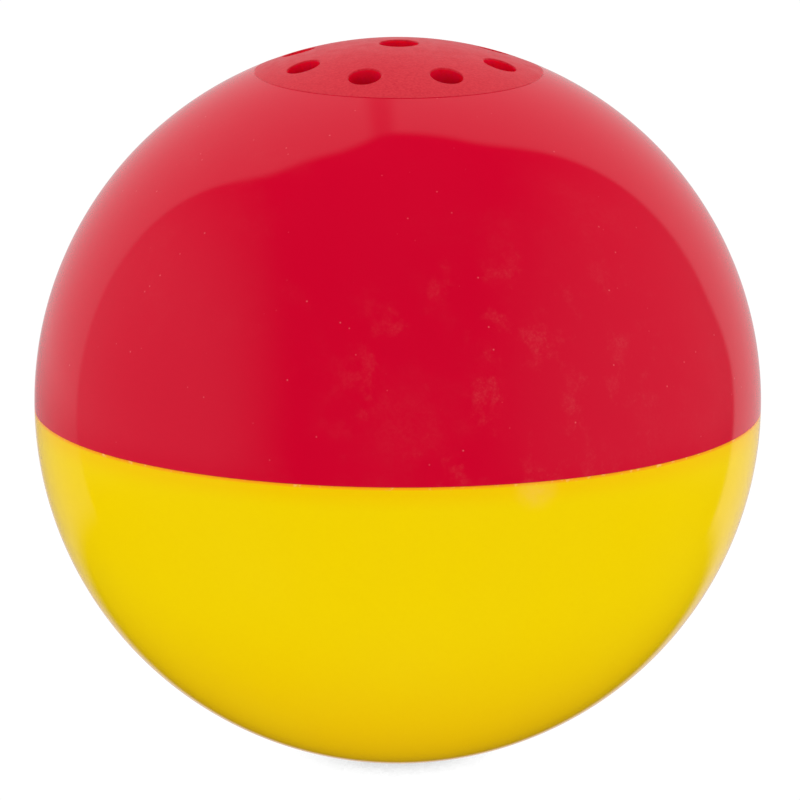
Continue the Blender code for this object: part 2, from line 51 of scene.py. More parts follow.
# The grille, in millimetres and degrees
DISC_ANGLE = 23.15
GROOVE_W = 0.13
GROOVE_D = 0.05
HOLE_RING_ANGLE = 16.8
HOLE_COUNT = 8
HOLE_FIRST = 26.5
HOLE_R = 1.56
MIDDLE_HOLE_R = 1.87
LIP = 0.14
HOLE_SIDES = 48
SHEET_STEP = 0.9

# The ring inside that the speaker's gasket meets: inner and outer radius, and height
SEAT_RING = (12.6, 14.4, 28.0)

# Bosses, posts and ribs inside the case, in millimetres
BOSS_X = 24.5
UPPER_BOSS_R = 3.0
LOWER_BOSS_R = 4.0
BOSS_PILOT_R = 1.6
HEAD_BORE_R = 2.75
HEAD_SEAT_Z = -9.0
POSTS = (17.6, 14.8)
POST_R = 3.0
POST_PILOT_R = 1.3
POST_TOP_Z = -6.3
RIB_HALF = 0.8
RIB_REACH = BALL_R - 1.25

# Edges sharper than this, in degrees, are shaded as edges
SHARP_ANGLE = 35


def sphere_z(radius, x, y):
    return math.sqrt(max(radius * radius - x * x - y * y, 0.0))


def arc(radius, start, end, count):
    """(r, z) points of a circle round the origin, by angle in degrees from +Z."""
    angles = [math.radians(start + (end - start) * i / count) for i in range(count + 1)]
    return [(radius * math.sin(a), radius * math.cos(a)) for a in angles]


def angle_at(radius, z):
    return math.degrees(math.acos(z / radius))


def rounded(outline, closed=False, steps=4):
    """Rounds each corner of an outline that has a third number, its radius."""
    count = len(outline)
    found = []
    for i, point in enumerate(outline):
        here = Vector(point[:2])
        radius = point[2] if len(point) > 2 else 0.0
        if radius <= 0 or (not closed and i in (0, count - 1)):
            found.append(tuple(here))
            continue
        before = Vector(outline[i - 1][:2]) - here
        after = Vector(outline[(i + 1) % count][:2]) - here
        half = before.angle(after) / 2
        back = min(radius / math.tan(half), before.length * 0.49, after.length * 0.49)
        start = here + before.normalized() * back
        end = here + after.normalized() * back
        for k in range(steps + 1):
            t = k / steps
            found.append(tuple((1 - t) ** 2 * start + 2 * t * (1 - t) * here + t * t * end))
    return found


def circle(radius, sides, x=0.0, y=0.0):
    """(x, y) points evenly round a circle."""
    turns = [math.tau * k / sides for k in range(sides)]
    return [(x + radius * math.cos(t), y + radius * math.sin(t)) for t in turns]


def new_ring(shape, radius, z, sides):
    return [shape.verts.new((x * MM, y * MM, z * MM)) for x, y in circle(radius, sides)]


def bridge(shape, *rings):
    """Quads between each ring and the next, which has the same length."""
    for one, two in zip(rings, rings[1:]):
        for i in range(len(one)):
            shape.faces.new((one[i - 1], one[i], two[i], two[i - 1]))


def revolve(outline, sides, closed=False):
    """A bmesh turned round Z from (r, z) points in millimetres. A point with r = 0 becomes one vertex."""
    shape = bmesh.new()
    rings = []
    for r, z in outline:
        on_axis = abs(r) < 1e-7
        rings.append([shape.verts.new((0, 0, z * MM))] if on_axis else new_ring(shape, r, z, sides))
    pairs = list(zip(rings, rings[1:])) + ([(rings[-1], rings[0])] if closed else [])
    for one, two in pairs:
        for k in range(sides):
            a, b = one[k % len(one)], one[(k + 1) % len(one)]
            c, d = two[(k + 1) % len(two)], two[k % len(two)]
            corners = [v for n, v in enumerate((a, b, c, d)) if v not in (a, b, c, d)[:n]]
            if len(corners) > 2:
                shape.faces.new(corners)
    return shape


def box(low, high, turn=0.0):
    """A box between two corners in millimetres, turned round Z by degrees."""
    shape = bmesh.new()
    low, high = Vector(low) * MM, Vector(high) * MM
    size = Matrix.Diagonal((*(high - low), 1))
    place = Matrix.Rotation(math.radians(turn), 4, "Z") @ Matrix.Translation((low + high) / 2) @ size
    bmesh.ops.create_cube(shape, size=1, matrix=place)
    return shape


def rod(radius, low, high, x=0.0, y=0.0, sides=40):
    shape = revolve([(0, low), (radius, low), (radius, high), (0, high)], sides)
    bmesh.ops.translate(shape, vec=(x * MM, y * MM, 0), verts=shape.verts)
    return shape


def merged(shapes):
    whole = bmesh.new()
    for shape in shapes:
        mesh = bpy.data.meshes.new("scratch")
        shape.to_mesh(mesh)
        shape.free()
        whole.from_mesh(mesh)
        bpy.data.meshes.remove(mesh)
    return whole


def piece(name, shape, look, angle=SHARP_ANGLE):
    """A named object from a bmesh, shaded smooth across edges under the angle."""
    bmesh.ops.remove_doubles(shape, verts=shape.verts, dist=1e-7)
    bmesh.ops.recalc_face_normals(shape, faces=shape.faces)
    mesh = bpy.data.meshes.new(name)
    shape.to_mesh(mesh)
    shape.free()
    mesh.shade_smooth()
    mesh.set_sharp_from_angle(angle=math.radians(angle))
    made = bpy.data.objects.new(name, mesh)
    bpy.context.scene.collection.objects.link(made)
    if look:
        mesh.materials.append(look)
    return made


def add_to(made, shape):
    """Adds a bmesh to a piece's own mesh."""
    shape.from_mesh(made.data)
    shape.to_mesh(made.data)
    shape.free()


def combine(target, steps):
    """Runs (operation, bmesh) booleans on a piece and keeps the result as its own mesh."""
    helpers = []
    for operation, shape in steps:
        helper = piece("cutter", shape, None)
        helpers.append(helper)
        modifier = target.modifiers.new("cut", "BOOLEAN")
        modifier.operation = operation
        modifier.solver = "EXACT"
        modifier.object = helper
    apply_modifiers(target)
    for helper in helpers:
        bpy.data.objects.remove(helper, do_unlink=True)
    return target


def apply_modifiers(target):
    depsgraph = bpy.context.evaluated_depsgraph_get()
    mesh = bpy.data.meshes.new_from_object(target.evaluated_get(depsgraph))
    target.modifiers.clear()
    old = target.data
    target.data = mesh
    bpy.data.meshes.remove(old)
    mesh.name = target.name


def true_sphere_normals(target, radii):
    """Gives faces that lie on a sphere round the origin its own normals, from (radius, sign) pairs."""
    mesh = target.data
    mesh.shade_smooth()
    mesh.set_sharp_from_angle(angle=math.radians(SHARP_ANGLE))
    normals = [Vector(n.vector) for n in mesh.corner_normals]
    for face in mesh.polygons:
        lengths = [mesh.vertices[v].co.length / MM for v in face.vertices]
        for radius, sign in radii:
            if all(abs(length - radius) < 0.004 for length in lengths):
                for loop in face.loop_indices:
                    normals[loop] = mesh.vertices[mesh.loops[loop].vertex_index].co.normalized() * sign
    mesh.normals_split_custom_set(normals)


def finish_faces(shell, inside, disc=None):
    """Gives the faces inside the outer surface their own material, and those of the grille disc another."""
    disc_z = BALL_R * math.cos(math.radians(DISC_ANGLE)) * MM
    inside_r = (BALL_R - LIP - 0.02) * MM
    for look in (inside, disc):
        if look:
            shell.data.materials.append(look)
    for face in shell.data.polygons:
        if face.center.length < inside_r:
            face.material_index = 1
        elif disc and face.center.z > disc_z:
            face.material_index = 2


def install(made, body, slot, *nodes):
    """Ties a piece to its body and hides the CAD nodes it stands for. The finish (slot) is not used."""
    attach(made, body)
    if nodes:
        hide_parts(*nodes)
    return made


# ---------------------------------------------------------------- materials


class Graph:
    """A node tree with short ways to add to it."""

    def __init__(self, tree):
        self.nodes, self.links = tree.nodes, tree.links

    def node(self, kind, **settings):
        made = self.nodes.new(kind)
        for key, value in settings.items():
            setattr(made, key, value)
        return made

    def feed(self, socket, value):
        if isinstance(value, bpy.types.NodeSocket):
            self.links.new(value, socket)
        else:
            socket.default_value = value

    def spread(self, value, low, high, to_low=0.0, to_high=1.0, smooth=False):
        made = self.node("ShaderNodeMapRange", interpolation_type="SMOOTHSTEP" if smooth else "LINEAR")
        for socket, number in zip(made.inputs[:5], (value, low, high, to_low, to_high)):
            self.feed(socket, number)
        return made.outputs["Result"]

    def maths(self, operation, one, two=0.0):
        made = self.node("ShaderNodeMath", operation=operation)
        self.feed(made.inputs[0], one)
        self.feed(made.inputs[1], two)
        return made.outputs[0]

    def times(self, one, two):
        return self.maths("MULTIPLY", one, two)


class Look(Graph):
    """A Principled material with helpers for its procedural detail."""

    def __init__(self, name, colour, roughness, metallic=0.0, **sockets):
        self.material = bpy.data.materials.new(name)
        self.material.use_nodes = True
        super().__init__(self.material.node_tree)
        self.shader = self.nodes["Principled BSDF"]
        self.set("Base Color", (*colour, 1.0))
        self.set("Roughness", roughness)
        self.set("Metallic", metallic)
        for socket, value in sockets.items():
            self.set(socket.replace("_", " "), value)
        self.coordinates = self.node("ShaderNodeTexCoord").outputs["Object"]
        self.material.diffuse_color = (*colour, 1.0)

    def set(self, socket, value):
        self.shader.inputs[socket].default_value = value

    def noise(self, scale, detail=3.0, roughness=0.55, stretch=None):
        vector = self.coordinates
        if stretch:
            mapping = self.node("ShaderNodeMapping")
            self.feed(mapping.inputs["Vector"], vector)
            mapping.inputs["Scale"].default_value = stretch
            vector = mapping.outputs["Vector"]
        made = self.node("ShaderNodeTexNoise")
        self.feed(made.inputs["Vector"], vector)
        made.inputs["Scale"].default_value = scale
        made.inputs["Detail"].default_value = detail
        made.inputs["Roughness"].default_value = roughness
        return made.outputs["Fac"]

    def cells(self, scale):
        made = self.node("ShaderNodeTexVoronoi")
        self.feed(made.inputs["Vector"], self.coordinates)
        made.inputs["Scale"].default_value = scale
        return made.outputs["Distance"]

    def mix(self, factor, one, two):
        made = self.node("ShaderNodeMix", data_type="RGBA")
        self.feed(made.inputs["Factor"], factor)
        for socket, colour in ((made.inputs[6], one), (made.inputs[7], two)):
            self.feed(socket, colour if isinstance(colour, bpy.types.NodeSocket) else (*colour, 1.0))
        return made.outputs[2]

    def axis(self, letter):
        made = self.node("ShaderNodeSeparateXYZ")
        self.feed(made.inputs[0], self.coordinates)
        return made.outputs[letter]

    def from_axis(self):
        """The distance from the piece's own Z axis."""
        x, y = self.axis("X"), self.axis("Y")
        return self.maths("SQRT", self.maths("ADD", self.times(x, x), self.times(y, y)))

    def near(self, place, far, close):
        """1 within `close` mm of a place given in mm, falling to 0 at `far` mm."""
        made = self.node("ShaderNodeVectorMath", operation="DISTANCE")
        self.feed(made.inputs[0], self.coordinates)
        made.inputs[1].default_value = [number * MM for number in place]
        return self.spread(made.outputs["Value"], far * MM, close * MM, smooth=True)

    def colour(self, value):
        self.feed(self.shader.inputs["Base Color"], value)

    def tint(self, mask, colour):
        """Lays a colour over the look's present one where the mask is 1."""
        self.colour(self.mix(mask, self.shader.inputs["Base Color"].links[0].from_socket, colour))

    def roughen(self, value):
        self.feed(self.shader.inputs["Roughness"], value)

    def bump(self, height, distance, strength=1.0):
        made = self.node("ShaderNodeBump")
        made.inputs["Strength"].default_value = strength
        made.inputs["Distance"].default_value = distance
        self.feed(made.inputs["Height"], height)
        if self.shader.inputs["Normal"].links:
            self.feed(made.inputs["Normal"], self.shader.inputs["Normal"].links[0].from_socket)
        self.feed(self.shader.inputs["Normal"], made.outputs["Normal"])


# Colours of the case
RED = (0.634, 0.0003, 0.023)
RED_HAZE = (0.66, 0.035, 0.05)
# Painted glow: a brighter red than the case's own, laid on the inner faces and hole walls
RED_INSIDE_PAINTED_GLOW = (0.75, 0.0002, 0.026)
YELLOW = (0.92, 0.650, 0.0001)
# Painted shade: the darker, warmer yellow laid on towards the bottom
YELLOW_LOW_PAINTED_SHADE = (0.885, 0.525, 0.0001)
# Painted glow: orange tints on the yellow half at the seam, where the red half's light would show through
YELLOW_SEAM_PAINTED_GLOW = (0.93, 0.50, 0.0005)
YELLOW_EDGE_PAINTED_GLOW = (0.98, 0.29, 0.01)
YELLOW_HAZE = (0.93, 0.70, 0.004)
FLASH = (1.0, 0.62, 0.22)
DUST = (0.85, 0.16, 0.19)
SCUFFED = (0.95, 0.56, 0.10)
DISC_DARK = (0.58, 0.0004, 0.019)
DISC_LIGHT = (0.67, 0.022, 0.038)

# Middles of the rubbed patch and of the scuff, in millimetres
RUBBED = (11.0, -30.5, 6.0)
SCUFF = (12.9, -32.5, -1.0)


def red_case():
    """Glossy red moulding with a little surface haze and dust."""
    look = Look("red_case_plastic", RED, 0.07, IOR=1.46)
    patches = look.spread(look.noise(260, 5, 0.7), 0.51, 0.67, smooth=True)
    patches = look.times(patches, look.near(RUBBED, 22, 9))
    film = look.spread(look.noise(95, 7, 0.66), 0.50, 0.75, 0.0, 0.4, smooth=True)
    haze = look.maths("MAXIMUM", patches, film)
    haze = look.times(haze, look.spread(look.noise(2800, 4, 0.8), 0.42, 0.60, 0.2, 1.0))
    specks = look.spread(look.cells(760), 0.03, 0.085, 1.0, 0.0)
    dust = look.times(specks, look.spread(look.noise(210, 1), 0.50, 0.54))
    look.colour(look.mix(look.times(haze, 0.45), RED, RED_HAZE))
    look.tint(look.times(dust, 0.55), DUST)
    rough = look.spread(look.noise(60, 4), 0.3, 0.7, 0.05, 0.09)
    look.roughen(look.maths("ADD", rough, look.times(haze, 0.08)))
    return look.material


def grille_disc():
    """The grille's matte disc, with a fine spark-eroded grain."""
    look = Look("red_case_disc", RED, 0.34, IOR=1.24)
    grain = look.noise(3800, 2, 0.6)
    look.colour(look.mix(look.spread(grain, 0.3, 0.7), DISC_DARK, DISC_LIGHT))
    look.roughen(look.spread(look.noise(800, 3), 0.3, 0.7, 0.28, 0.38))
    look.bump(grain, 0.018 * MM, 0.7)
    return look.material


def yellow_case():
    """Glossy yellow moulding, with painted glow where the red half's light shows through at the seam, and
    painted shade, darker and warmer, towards the bottom.
    """
    look = Look("yellow_case_plastic", YELLOW, 0.08, IOR=1.28)
    z = look.axis("Z")
    # Painted shade: the yellow turns darker and warmer towards the bottom
    low = look.spread(z, -12 * MM, -34 * MM, smooth=True)
    # Painted glow: an orange band fading down from the seam and a thin orange line at its edge
    seam = look.spread(z, (SEAM_Z - 2.6) * MM, SEAM_Z * MM, smooth=True)
    edge = look.spread(z, (SEAM_Z - 0.34) * MM, (SEAM_Z - 0.12) * MM)
    flash = look.times(edge, look.spread(look.noise(1500, 2, 0.6), 0.60, 0.68))
    scuff = look.spread(look.noise(900, 4, 0.7), 0.35, 0.65, 0.3, 1.0)
    scuff = look.times(look.near(SCUFF, 2.7, 0.4), scuff)
    haze = look.spread(look.noise(70, 5, 0.6), 0.45, 0.75, smooth=True)
    look.colour(look.mix(low, YELLOW, YELLOW_LOW_PAINTED_SHADE))
    layers = (
        # painted glow at the seam
        (seam, 0.55, YELLOW_SEAM_PAINTED_GLOW),
        (edge, 0.8, YELLOW_EDGE_PAINTED_GLOW),
        (flash, 0.6, FLASH),
        (scuff, 0.4, SCUFFED),
        (haze, 0.10, YELLOW_HAZE),
    )
    for mask, amount, colour in layers:
        look.tint(look.times(mask, amount), colour)
    look.roughen(look.spread(look.noise(60, 4), 0.3, 0.7, 0.06, 0.10))
    return look.material


def moulding_inside(name, colour, glow):
    """The unpolished inner face of a moulding, where light scatters a little way into the plastic."""
    look = Look(name, colour, 0.5, IOR=1.16, Subsurface_Weight=0.7, Subsurface_Scale=2.2 * MM)
    look.set("Subsurface Radius", glow)
    grain = look.noise(3000, 3)
    darker = tuple(c * 0.92 for c in colour)
    look.colour(look.mix(look.spread(look.noise(300, 3), 0.3, 0.7), darker, colour))
    look.roughen(look.spread(grain, 0.3, 0.7, 0.44, 0.58))
    look.bump(grain, 0.015 * MM, 0.6)
    return look.material


# ---------------------------------------------------------------- case


def grille_holes():
    """(x, y, radius) of each hole in millimetres."""
    ring = BALL_R * math.sin(math.radians(HOLE_RING_ANGLE))
    turns = [math.radians(HOLE_FIRST + 360 * i / HOLE_COUNT) for i in range(HOLE_COUNT)]
    around = [(ring * math.cos(t), ring * math.sin(t), HOLE_R) for t in turns]
    return [(0.0, 0.0, MIDDLE_HOLE_R)] + around


def perforated(edge_r, holes):
    """A flat round sheet with holes, as (points, triangles, edge indices, hole index loops)."""
    points, loops = [], []

    def ring(x, y, r, count):
        first = len(points)
        points.extend(Vector(spot) for spot in circle(r, count, x, y))
        return list(range(first, first + count))

    edge = ring(0, 0, edge_r, BALL_SIDES)
    near_hole, round_hole = 0.25, 0.7
    for x, y, r in holes:
        loops.append(ring(x, y, r, HOLE_SIDES))
        ring(x, y, r + near_hole, HOLE_SIDES)
        ring(x, y, r + round_hole, HOLE_SIDES // 2)
    r = SHEET_STEP
    while r < edge_r - SHEET_STEP * 0.7:
        for k in range(max(6, int(math.tau * r / SHEET_STEP))):
            turn = k * SHEET_STEP / r
            x, y = r * math.cos(turn), r * math.sin(turn)
            if all(math.hypot(x - hx, y - hy) > hr + round_hole + SHEET_STEP * 0.5 for hx, hy, hr in holes):
                points.append(Vector((x, y)))
        r += SHEET_STEP
    fixed = [(loop[i - 1], loop[i]) for loop in loops + [edge] for i in range(len(loop))]
    made = geometry.delaunay_2d_cdt(points, fixed, [], 0, 1e-6)
    spots, faces = made[0], made[2]
    solid = []
    for face in faces:
        middle = sum((spots[i] for i in face), Vector((0, 0))) / len(face)
        if all((middle - Vector((x, y))).length > r * math.cos(math.pi / HOLE_SIDES) for x, y, r in holes):
            solid.append(face)
    return spots, solid, edge, loops


def sheet_on_sphere(shape, radius, edge_r, holes):
    """Adds a perforated sheet lying on a sphere to a bmesh. Returns its edge ring and its hole loops."""
    spots, faces, edge, loops = perforated(edge_r, holes)
    verts = [shape.verts.new((p.x * MM, p.y * MM, sphere_z(radius, p.x, p.y) * MM)) for p in spots]
    for face in faces:
        shape.faces.new([verts[i] for i in face])
    return [verts[i] for i in edge], [[verts[i] for i in loop] for loop in loops]


def make_upper_shell(look):
    shape = bmesh.new()
    holes = grille_holes()
    disc_r = BALL_R * math.sin(math.radians(DISC_ANGLE))
    step = math.degrees(GROOVE_W / BALL_R)
    lips = [(x, y, r + LIP) for x, y, r in holes]
    top, outer_loops = sheet_on_sphere(shape, BALL_R, disc_r, lips)

    rim = SEAM_Z + SEAM_HALF
    seat_in, seat_out, seat_z = SEAT_RING
    outline = arc(BALL_R - GROOVE_D, DISC_ANGLE + step * 0.3, DISC_ANGLE + step * 0.7, 1)
    outline += arc(BALL_R, DISC_ANGLE + step, angle_at(BALL_R, rim + EDGE_R), 72)
    outline += [(BALL_R - EDGE_R * 0.3, rim + EDGE_R * 0.3), (BALL_R - EDGE_R, rim)]
    outline += [(RABBET_R + 0.1, rim), (RABBET_R, rim + 0.1), (RABBET_R, RABBET_TOP)]
    outline += arc(INNER_R, angle_at(INNER_R, RABBET_TOP), math.degrees(math.asin(seat_out / INNER_R)), 48)
    outline += [(seat_out, seat_z + 0.15), (seat_out - 0.15, seat_z)]
    outline += [(seat_in + 0.15, seat_z), (seat_in, seat_z + 0.15)]
    rings = [top] + [new_ring(shape, r, z, BALL_SIDES) for r, z in outline]
    ceiling, inner_loops = sheet_on_sphere(shape, INNER_R, seat_in, holes)
    bridge(shape, *rings, ceiling)
    for hole, outer, inner in zip(holes, outer_loops, inner_loops):
        line_hole(shape, hole, outer, inner)
    return piece("upper_shell_skin", shape, look)


def line_hole(shape, hole, outer, inner):
    """The wall of a grille hole, with a rounded lip at its outer end."""
    x, y, r = hole
    lip_steps = 4
    wall = [outer]
    for k in range(1, lip_steps + 1):
        turn = math.radians(90 * k / lip_steps)
        drop = LIP * (1 - math.cos(turn))
        spots = circle(r + LIP * (1 - math.sin(turn)), HOLE_SIDES, x, y)
        places = [Vector((a, b, sphere_z(BALL_R, a, b) - drop)) * MM for a, b in spots]
        wall.append([shape.verts.new(place) for place in places])
    lip_end = wall[-1]
    for depth in (0.25, 0.5, 0.75):
        wall.append([shape.verts.new(high.co.lerp(low.co, depth)) for low, high in zip(inner, lip_end)])
    bridge(shape, *wall, inner)


def inside_ball(shapes):
    """Ribs and bosses joined and cut off inside the wall."""
    ribs = piece("ribs", shapes[0], None)
    limit = revolve(arc(RIB_REACH, 0, 180, 48), 96)
    combine(ribs, [("UNION", shape) for shape in shapes[1:]] + [("INTERSECT", limit)])
    whole = bmesh.new()
    whole.from_mesh(ribs.data)
    bpy.data.objects.remove(ribs, do_unlink=True)
    return whole


def bosses(radius, low, high, rib_low, rib_high):
    """The two screw bosses, each with the rib that ties it to the wall."""
    shapes = [rod(radius, low, high, side * BOSS_X) for side in (-1, 1)]
    for side in (-1, 1):
        near, far = sorted((side * BOSS_X, side * BALL_R))
        shapes.append(box((near, -RIB_HALF, rib_low), (far, RIB_HALF, rib_high)))
    return shapes


def fit_upper_shell(shell):
    """Adds the bosses that the case screws thread into."""
    foot = SEAM_Z + 0.17
    shapes = bosses(UPPER_BOSS_R, foot, 40, 2.2, 14)
    pilots = [rod(BOSS_PILOT_R, foot - 1, 9.5, side * BOSS_X) for side in (-1, 1)]
    combine(shell, [("UNION", inside_ball(shapes)), ("DIFFERENCE", merged(pilots))])
    true_sphere_normals(shell, [(BALL_R, 1), (INNER_R, -1)])


def make_lower_shell(look):
    lip = SEAM_Z - SEAM_HALF
    outline = [(0, -INNER_R)] + arc(INNER_R, 180, angle_at(INNER_R, lip), 64)[1:]
    tongue_in, tongue_out = TONGUE_R
    outline += [(tongue_in, TONGUE_TOP - 0.2), (tongue_in + 0.2, TONGUE_TOP), (tongue_out - 0.2, TONGUE_TOP)]
    outline += [(tongue_out, TONGUE_TOP - 0.2), (tongue_out, lip)]
    outline += [(BALL_R - EDGE_R, lip), (BALL_R - EDGE_R * 0.3, lip - EDGE_R * 0.3)]
    outline += arc(BALL_R, angle_at(BALL_R, lip - EDGE_R), 180, 72)[:-1] + [(0, -BALL_R)]
    shell = piece("lower_shell_skin", revolve(outline, BALL_SIDES), look)
    shapes = bosses(LOWER_BOSS_R, -40, SEAM_Z - 0.13, -20, SEAM_Z - 1.1)
    places = [(sx * POSTS[0], sy * POSTS[1]) for sy in (-1, 1) for sx in (-1, 1)]
    shapes += [rod(POST_R, -40, POST_TOP_Z, x, y) for x, y in places]
    head_bores = [rod(HEAD_BORE_R, -40, HEAD_SEAT_Z, side * BOSS_X) for side in (-1, 1)]
    holes = [rod(BOSS_PILOT_R, HEAD_SEAT_Z - 1, 3, side * BOSS_X) for side in (-1, 1)]
    pilots = [rod(POST_PILOT_R, -13, 0, x, y, 24) for x, y in places]
    cuts = [("DIFFERENCE", merged(rods)) for rods in (head_bores, holes, pilots)]
    combine(shell, [("UNION", inside_ball(shapes))] + cuts)
    true_sphere_normals(shell, [(BALL_R, 1), (INNER_R, -1)])
    return shell


# ---------------------------------------------------------------- shared shapes


def turned(name, outline, look, at=(0, 0, 0), turn=(0, 0, 0), sides=64):
    """A lathe piece from (r, z, corner radius) points. An outline that leaves the axis becomes a ring."""
    ring = outline[0][0] > 0
    made = piece(name, revolve(rounded(outline, ring), sides, ring), look)
    made.location = Vector(at) * MM
    made.rotation_euler = turn
    return made


def prism(outline, low, high, foot=1.0):
    """A solid between two heights from a flat outline, its foot scaled by a factor."""
    shape = bmesh.new()
    bottom = [shape.verts.new((x * foot * MM, y * foot * MM, low * MM)) for x, y in outline]
    top = [shape.verts.new((x * MM, y * MM, high * MM)) for x, y in outline]
    bridge(shape, bottom, top)
    shape.faces.new(bottom[::-1])
    shape.faces.new(top)
    return shape


def rectangle(low, high, corner=0.0):
    (x0, y0), (x1, y1) = low, high
    return rounded([(x0, y0, corner), (x1, y0, corner), (x1, y1, corner), (x0, y1, corner)], True, 5)


def soften(made, width, segments=2):
    """Rounds a piece's sharp edges."""
    modifier = made.modifiers.new("soft_edges", "BEVEL")
    modifier.width = width * MM
    modifier.segments = segments
    modifier.limit_method = "ANGLE"
    modifier.angle_limit = math.radians(SHARP_ANGLE)
    modifier.harden_normals = True
    modifier.use_clamp_overlap = False
    apply_modifiers(made)
    return made


def smooth_route(points, per_span=8):
    """Points along a Catmull-Rom curve through the given ones."""
    knots = [Vector(p) for p in points]
    knots = [2 * knots[0] - knots[1]] + knots + [2 * knots[-1] - knots[-2]]
    found = []
    for a, b, c, d in zip(knots, knots[1:], knots[2:], knots[3:]):
        for i in range(per_span):
            t = i / per_span
            square = (2 * a - 5 * b + 4 * c - d) * t**2
            cube = (3 * b - a - 3 * c + d) * t**3
            found.append((2 * b + (c - a) * t + square + cube) / 2)
    return found + [knots[-2]]


def swept(points, radius, sides=16):
    """A round tube along points in millimetres, with domed ends."""
    points = [Vector(p) for p in points]
    shape, rings = bmesh.new(), []
    along = (points[1] - points[0]).normalized()
    side = along.orthogonal().normalized()
    for i, point in enumerate(points):
        ahead = (points[min(i + 1, len(points) - 1)] - points[max(i - 1, 0)]).normalized()
        side = (side - ahead * side.dot(ahead)).normalized()
        across = ahead.cross(side)
        end = radius * (0.8 if i in (0, len(points) - 1) else 1.0)
        spokes = [side * u + across * v for u, v in circle(end, sides)]
        rings.append([shape.verts.new((point + spoke) * MM) for spoke in spokes])
    bridge(shape, *rings)
    shape.faces.new(rings[0][::-1])
    shape.faces.new(rings[-1])
    return shape


# Stands a flat outline up: its x and y become Y and Z, and its height runs along X
STAND = Matrix(((0, 0, 1, 0), (1, 0, 0, 0), (0, 1, 0, 0), (0, 0, 0, 1)))


def standing_prism(outline, low, high):
    shape = prism(outline, low, high)
    bmesh.ops.transform(shape, matrix=STAND, verts=shape.verts)
    return shape


def box_of(node):
    """A CAD node's corners in millimetres."""
    low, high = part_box(node)
    return Vector(low) / MM, Vector(high) / MM


# ---------------------------------------------------------------- screws

# Each screw's head height and thread radius, in millimetres
CASE_SCREW = (1.8, 1.3)
FRAME_SCREW = (1.3, 1.0)
BOARD_SCREW = (1.1, 0.85)


def thread(radius, length, pitch, sides=28, per_turn=8):
    """A rolled thread running down from the origin to a blunt point."""
    core = radius * 0.72
    steps = int(length / pitch * per_turn)
    shape, rings = bmesh.new(), []
    for i in range(steps + 1):
        z = -length * i / steps
        point = min(1.0, 0.2 + 0.8 * (length + z) / (1.6 * pitch))
        start = min(1.0, -z / pitch)
        ring = []
        for k in range(sides):
            phase = (z / pitch + k / sides) % 1
            crest = max(0.0, 1 - abs(phase - 0.5) / 0.3)
            r = (core + (radius - core) * crest * start) * point
            turn = math.tau * k / sides
            ring.append(shape.verts.new((r * MM * math.cos(turn), r * MM * math.sin(turn), z * MM)))
        rings.append(ring)
    bridge(shape, *rings)
    shape.faces.new(rings[0])
    shape.faces.new(rings[-1][::-1])
    return shape


def make_screw(node, size, look, upside_down=False):
    """A pan-head screw with a cross recess and a thread, its seat at its origin and its shank along -Z."""
    head_h, shank_r = size
    low, high = box_of(node)
    head_r = (high.x - low.x) / 2
    length = high.z - low.z - head_h
    outline = [(0, 0), (head_r * 0.99, 0, 0.12), (head_r * 0.99, head_h * 0.45, 0.5)]
    outline += [(head_r * 0.8, head_h * 0.86, 0.5), (head_r * 0.45, head_h, 0.3), (0, head_h)]
    made = turned(node + "_detail", outline, look, sides=48)
    long, thin = head_r * 0.56, head_r * 0.14
    cross = []
    for quarter in range(4):
        turn = Matrix.Rotation(math.pi / 2 * quarter, 2)
        cross += [tuple(turn @ Vector(p)) for p in ((long, thin), (thin, thin), (thin, long))]
    combine(made, [("DIFFERENCE", prism(cross, head_h * 0.25, head_h * 1.2, 0.45))])
    add_to(made, thread(shank_r, length, shank_r * 0.85))
    made.data.set_sharp_from_angle(angle=math.radians(38))
    middle = (low + high) / 2
    if upside_down:
        made.rotation_euler.x = math.pi
        made.location = Vector((middle.x, middle.y, low.z + head_h)) * MM
    else:
        made.location = Vector((middle.x, middle.y, high.z - head_h)) * MM
    return install(made, "lower_half", "zinc_screw", node)


# ---------------------------------------------------------------- module frame

PLATE_R = 28.2
PLATE_Z = (-6.0, -4.0)
CUP = (12.6, 14.3, 15.6)
CUP_Z = (22.8, 25.3, 26.4)
LEG = (14.6, 2.0)
LEG_WIDTHS = ((8.0, 0), (6.0, 90), (8.0, 180))
STANDOFFS = ((-11.2, 11.2), (11.2, 11.2), (-11.2, -4.4), (11.2, -4.4))
STANDOFF_H = 1.3
BOARD_PILOT_R = 1.15
CELL_Y, CELL_Z = -17.0, 0.6
BED_R, BED_X = 6.1, 10.6
BAY_LOW, BAY_HIGH = (-12.5, -24.5, -7.5), (12.5, -9.5, 2.5)


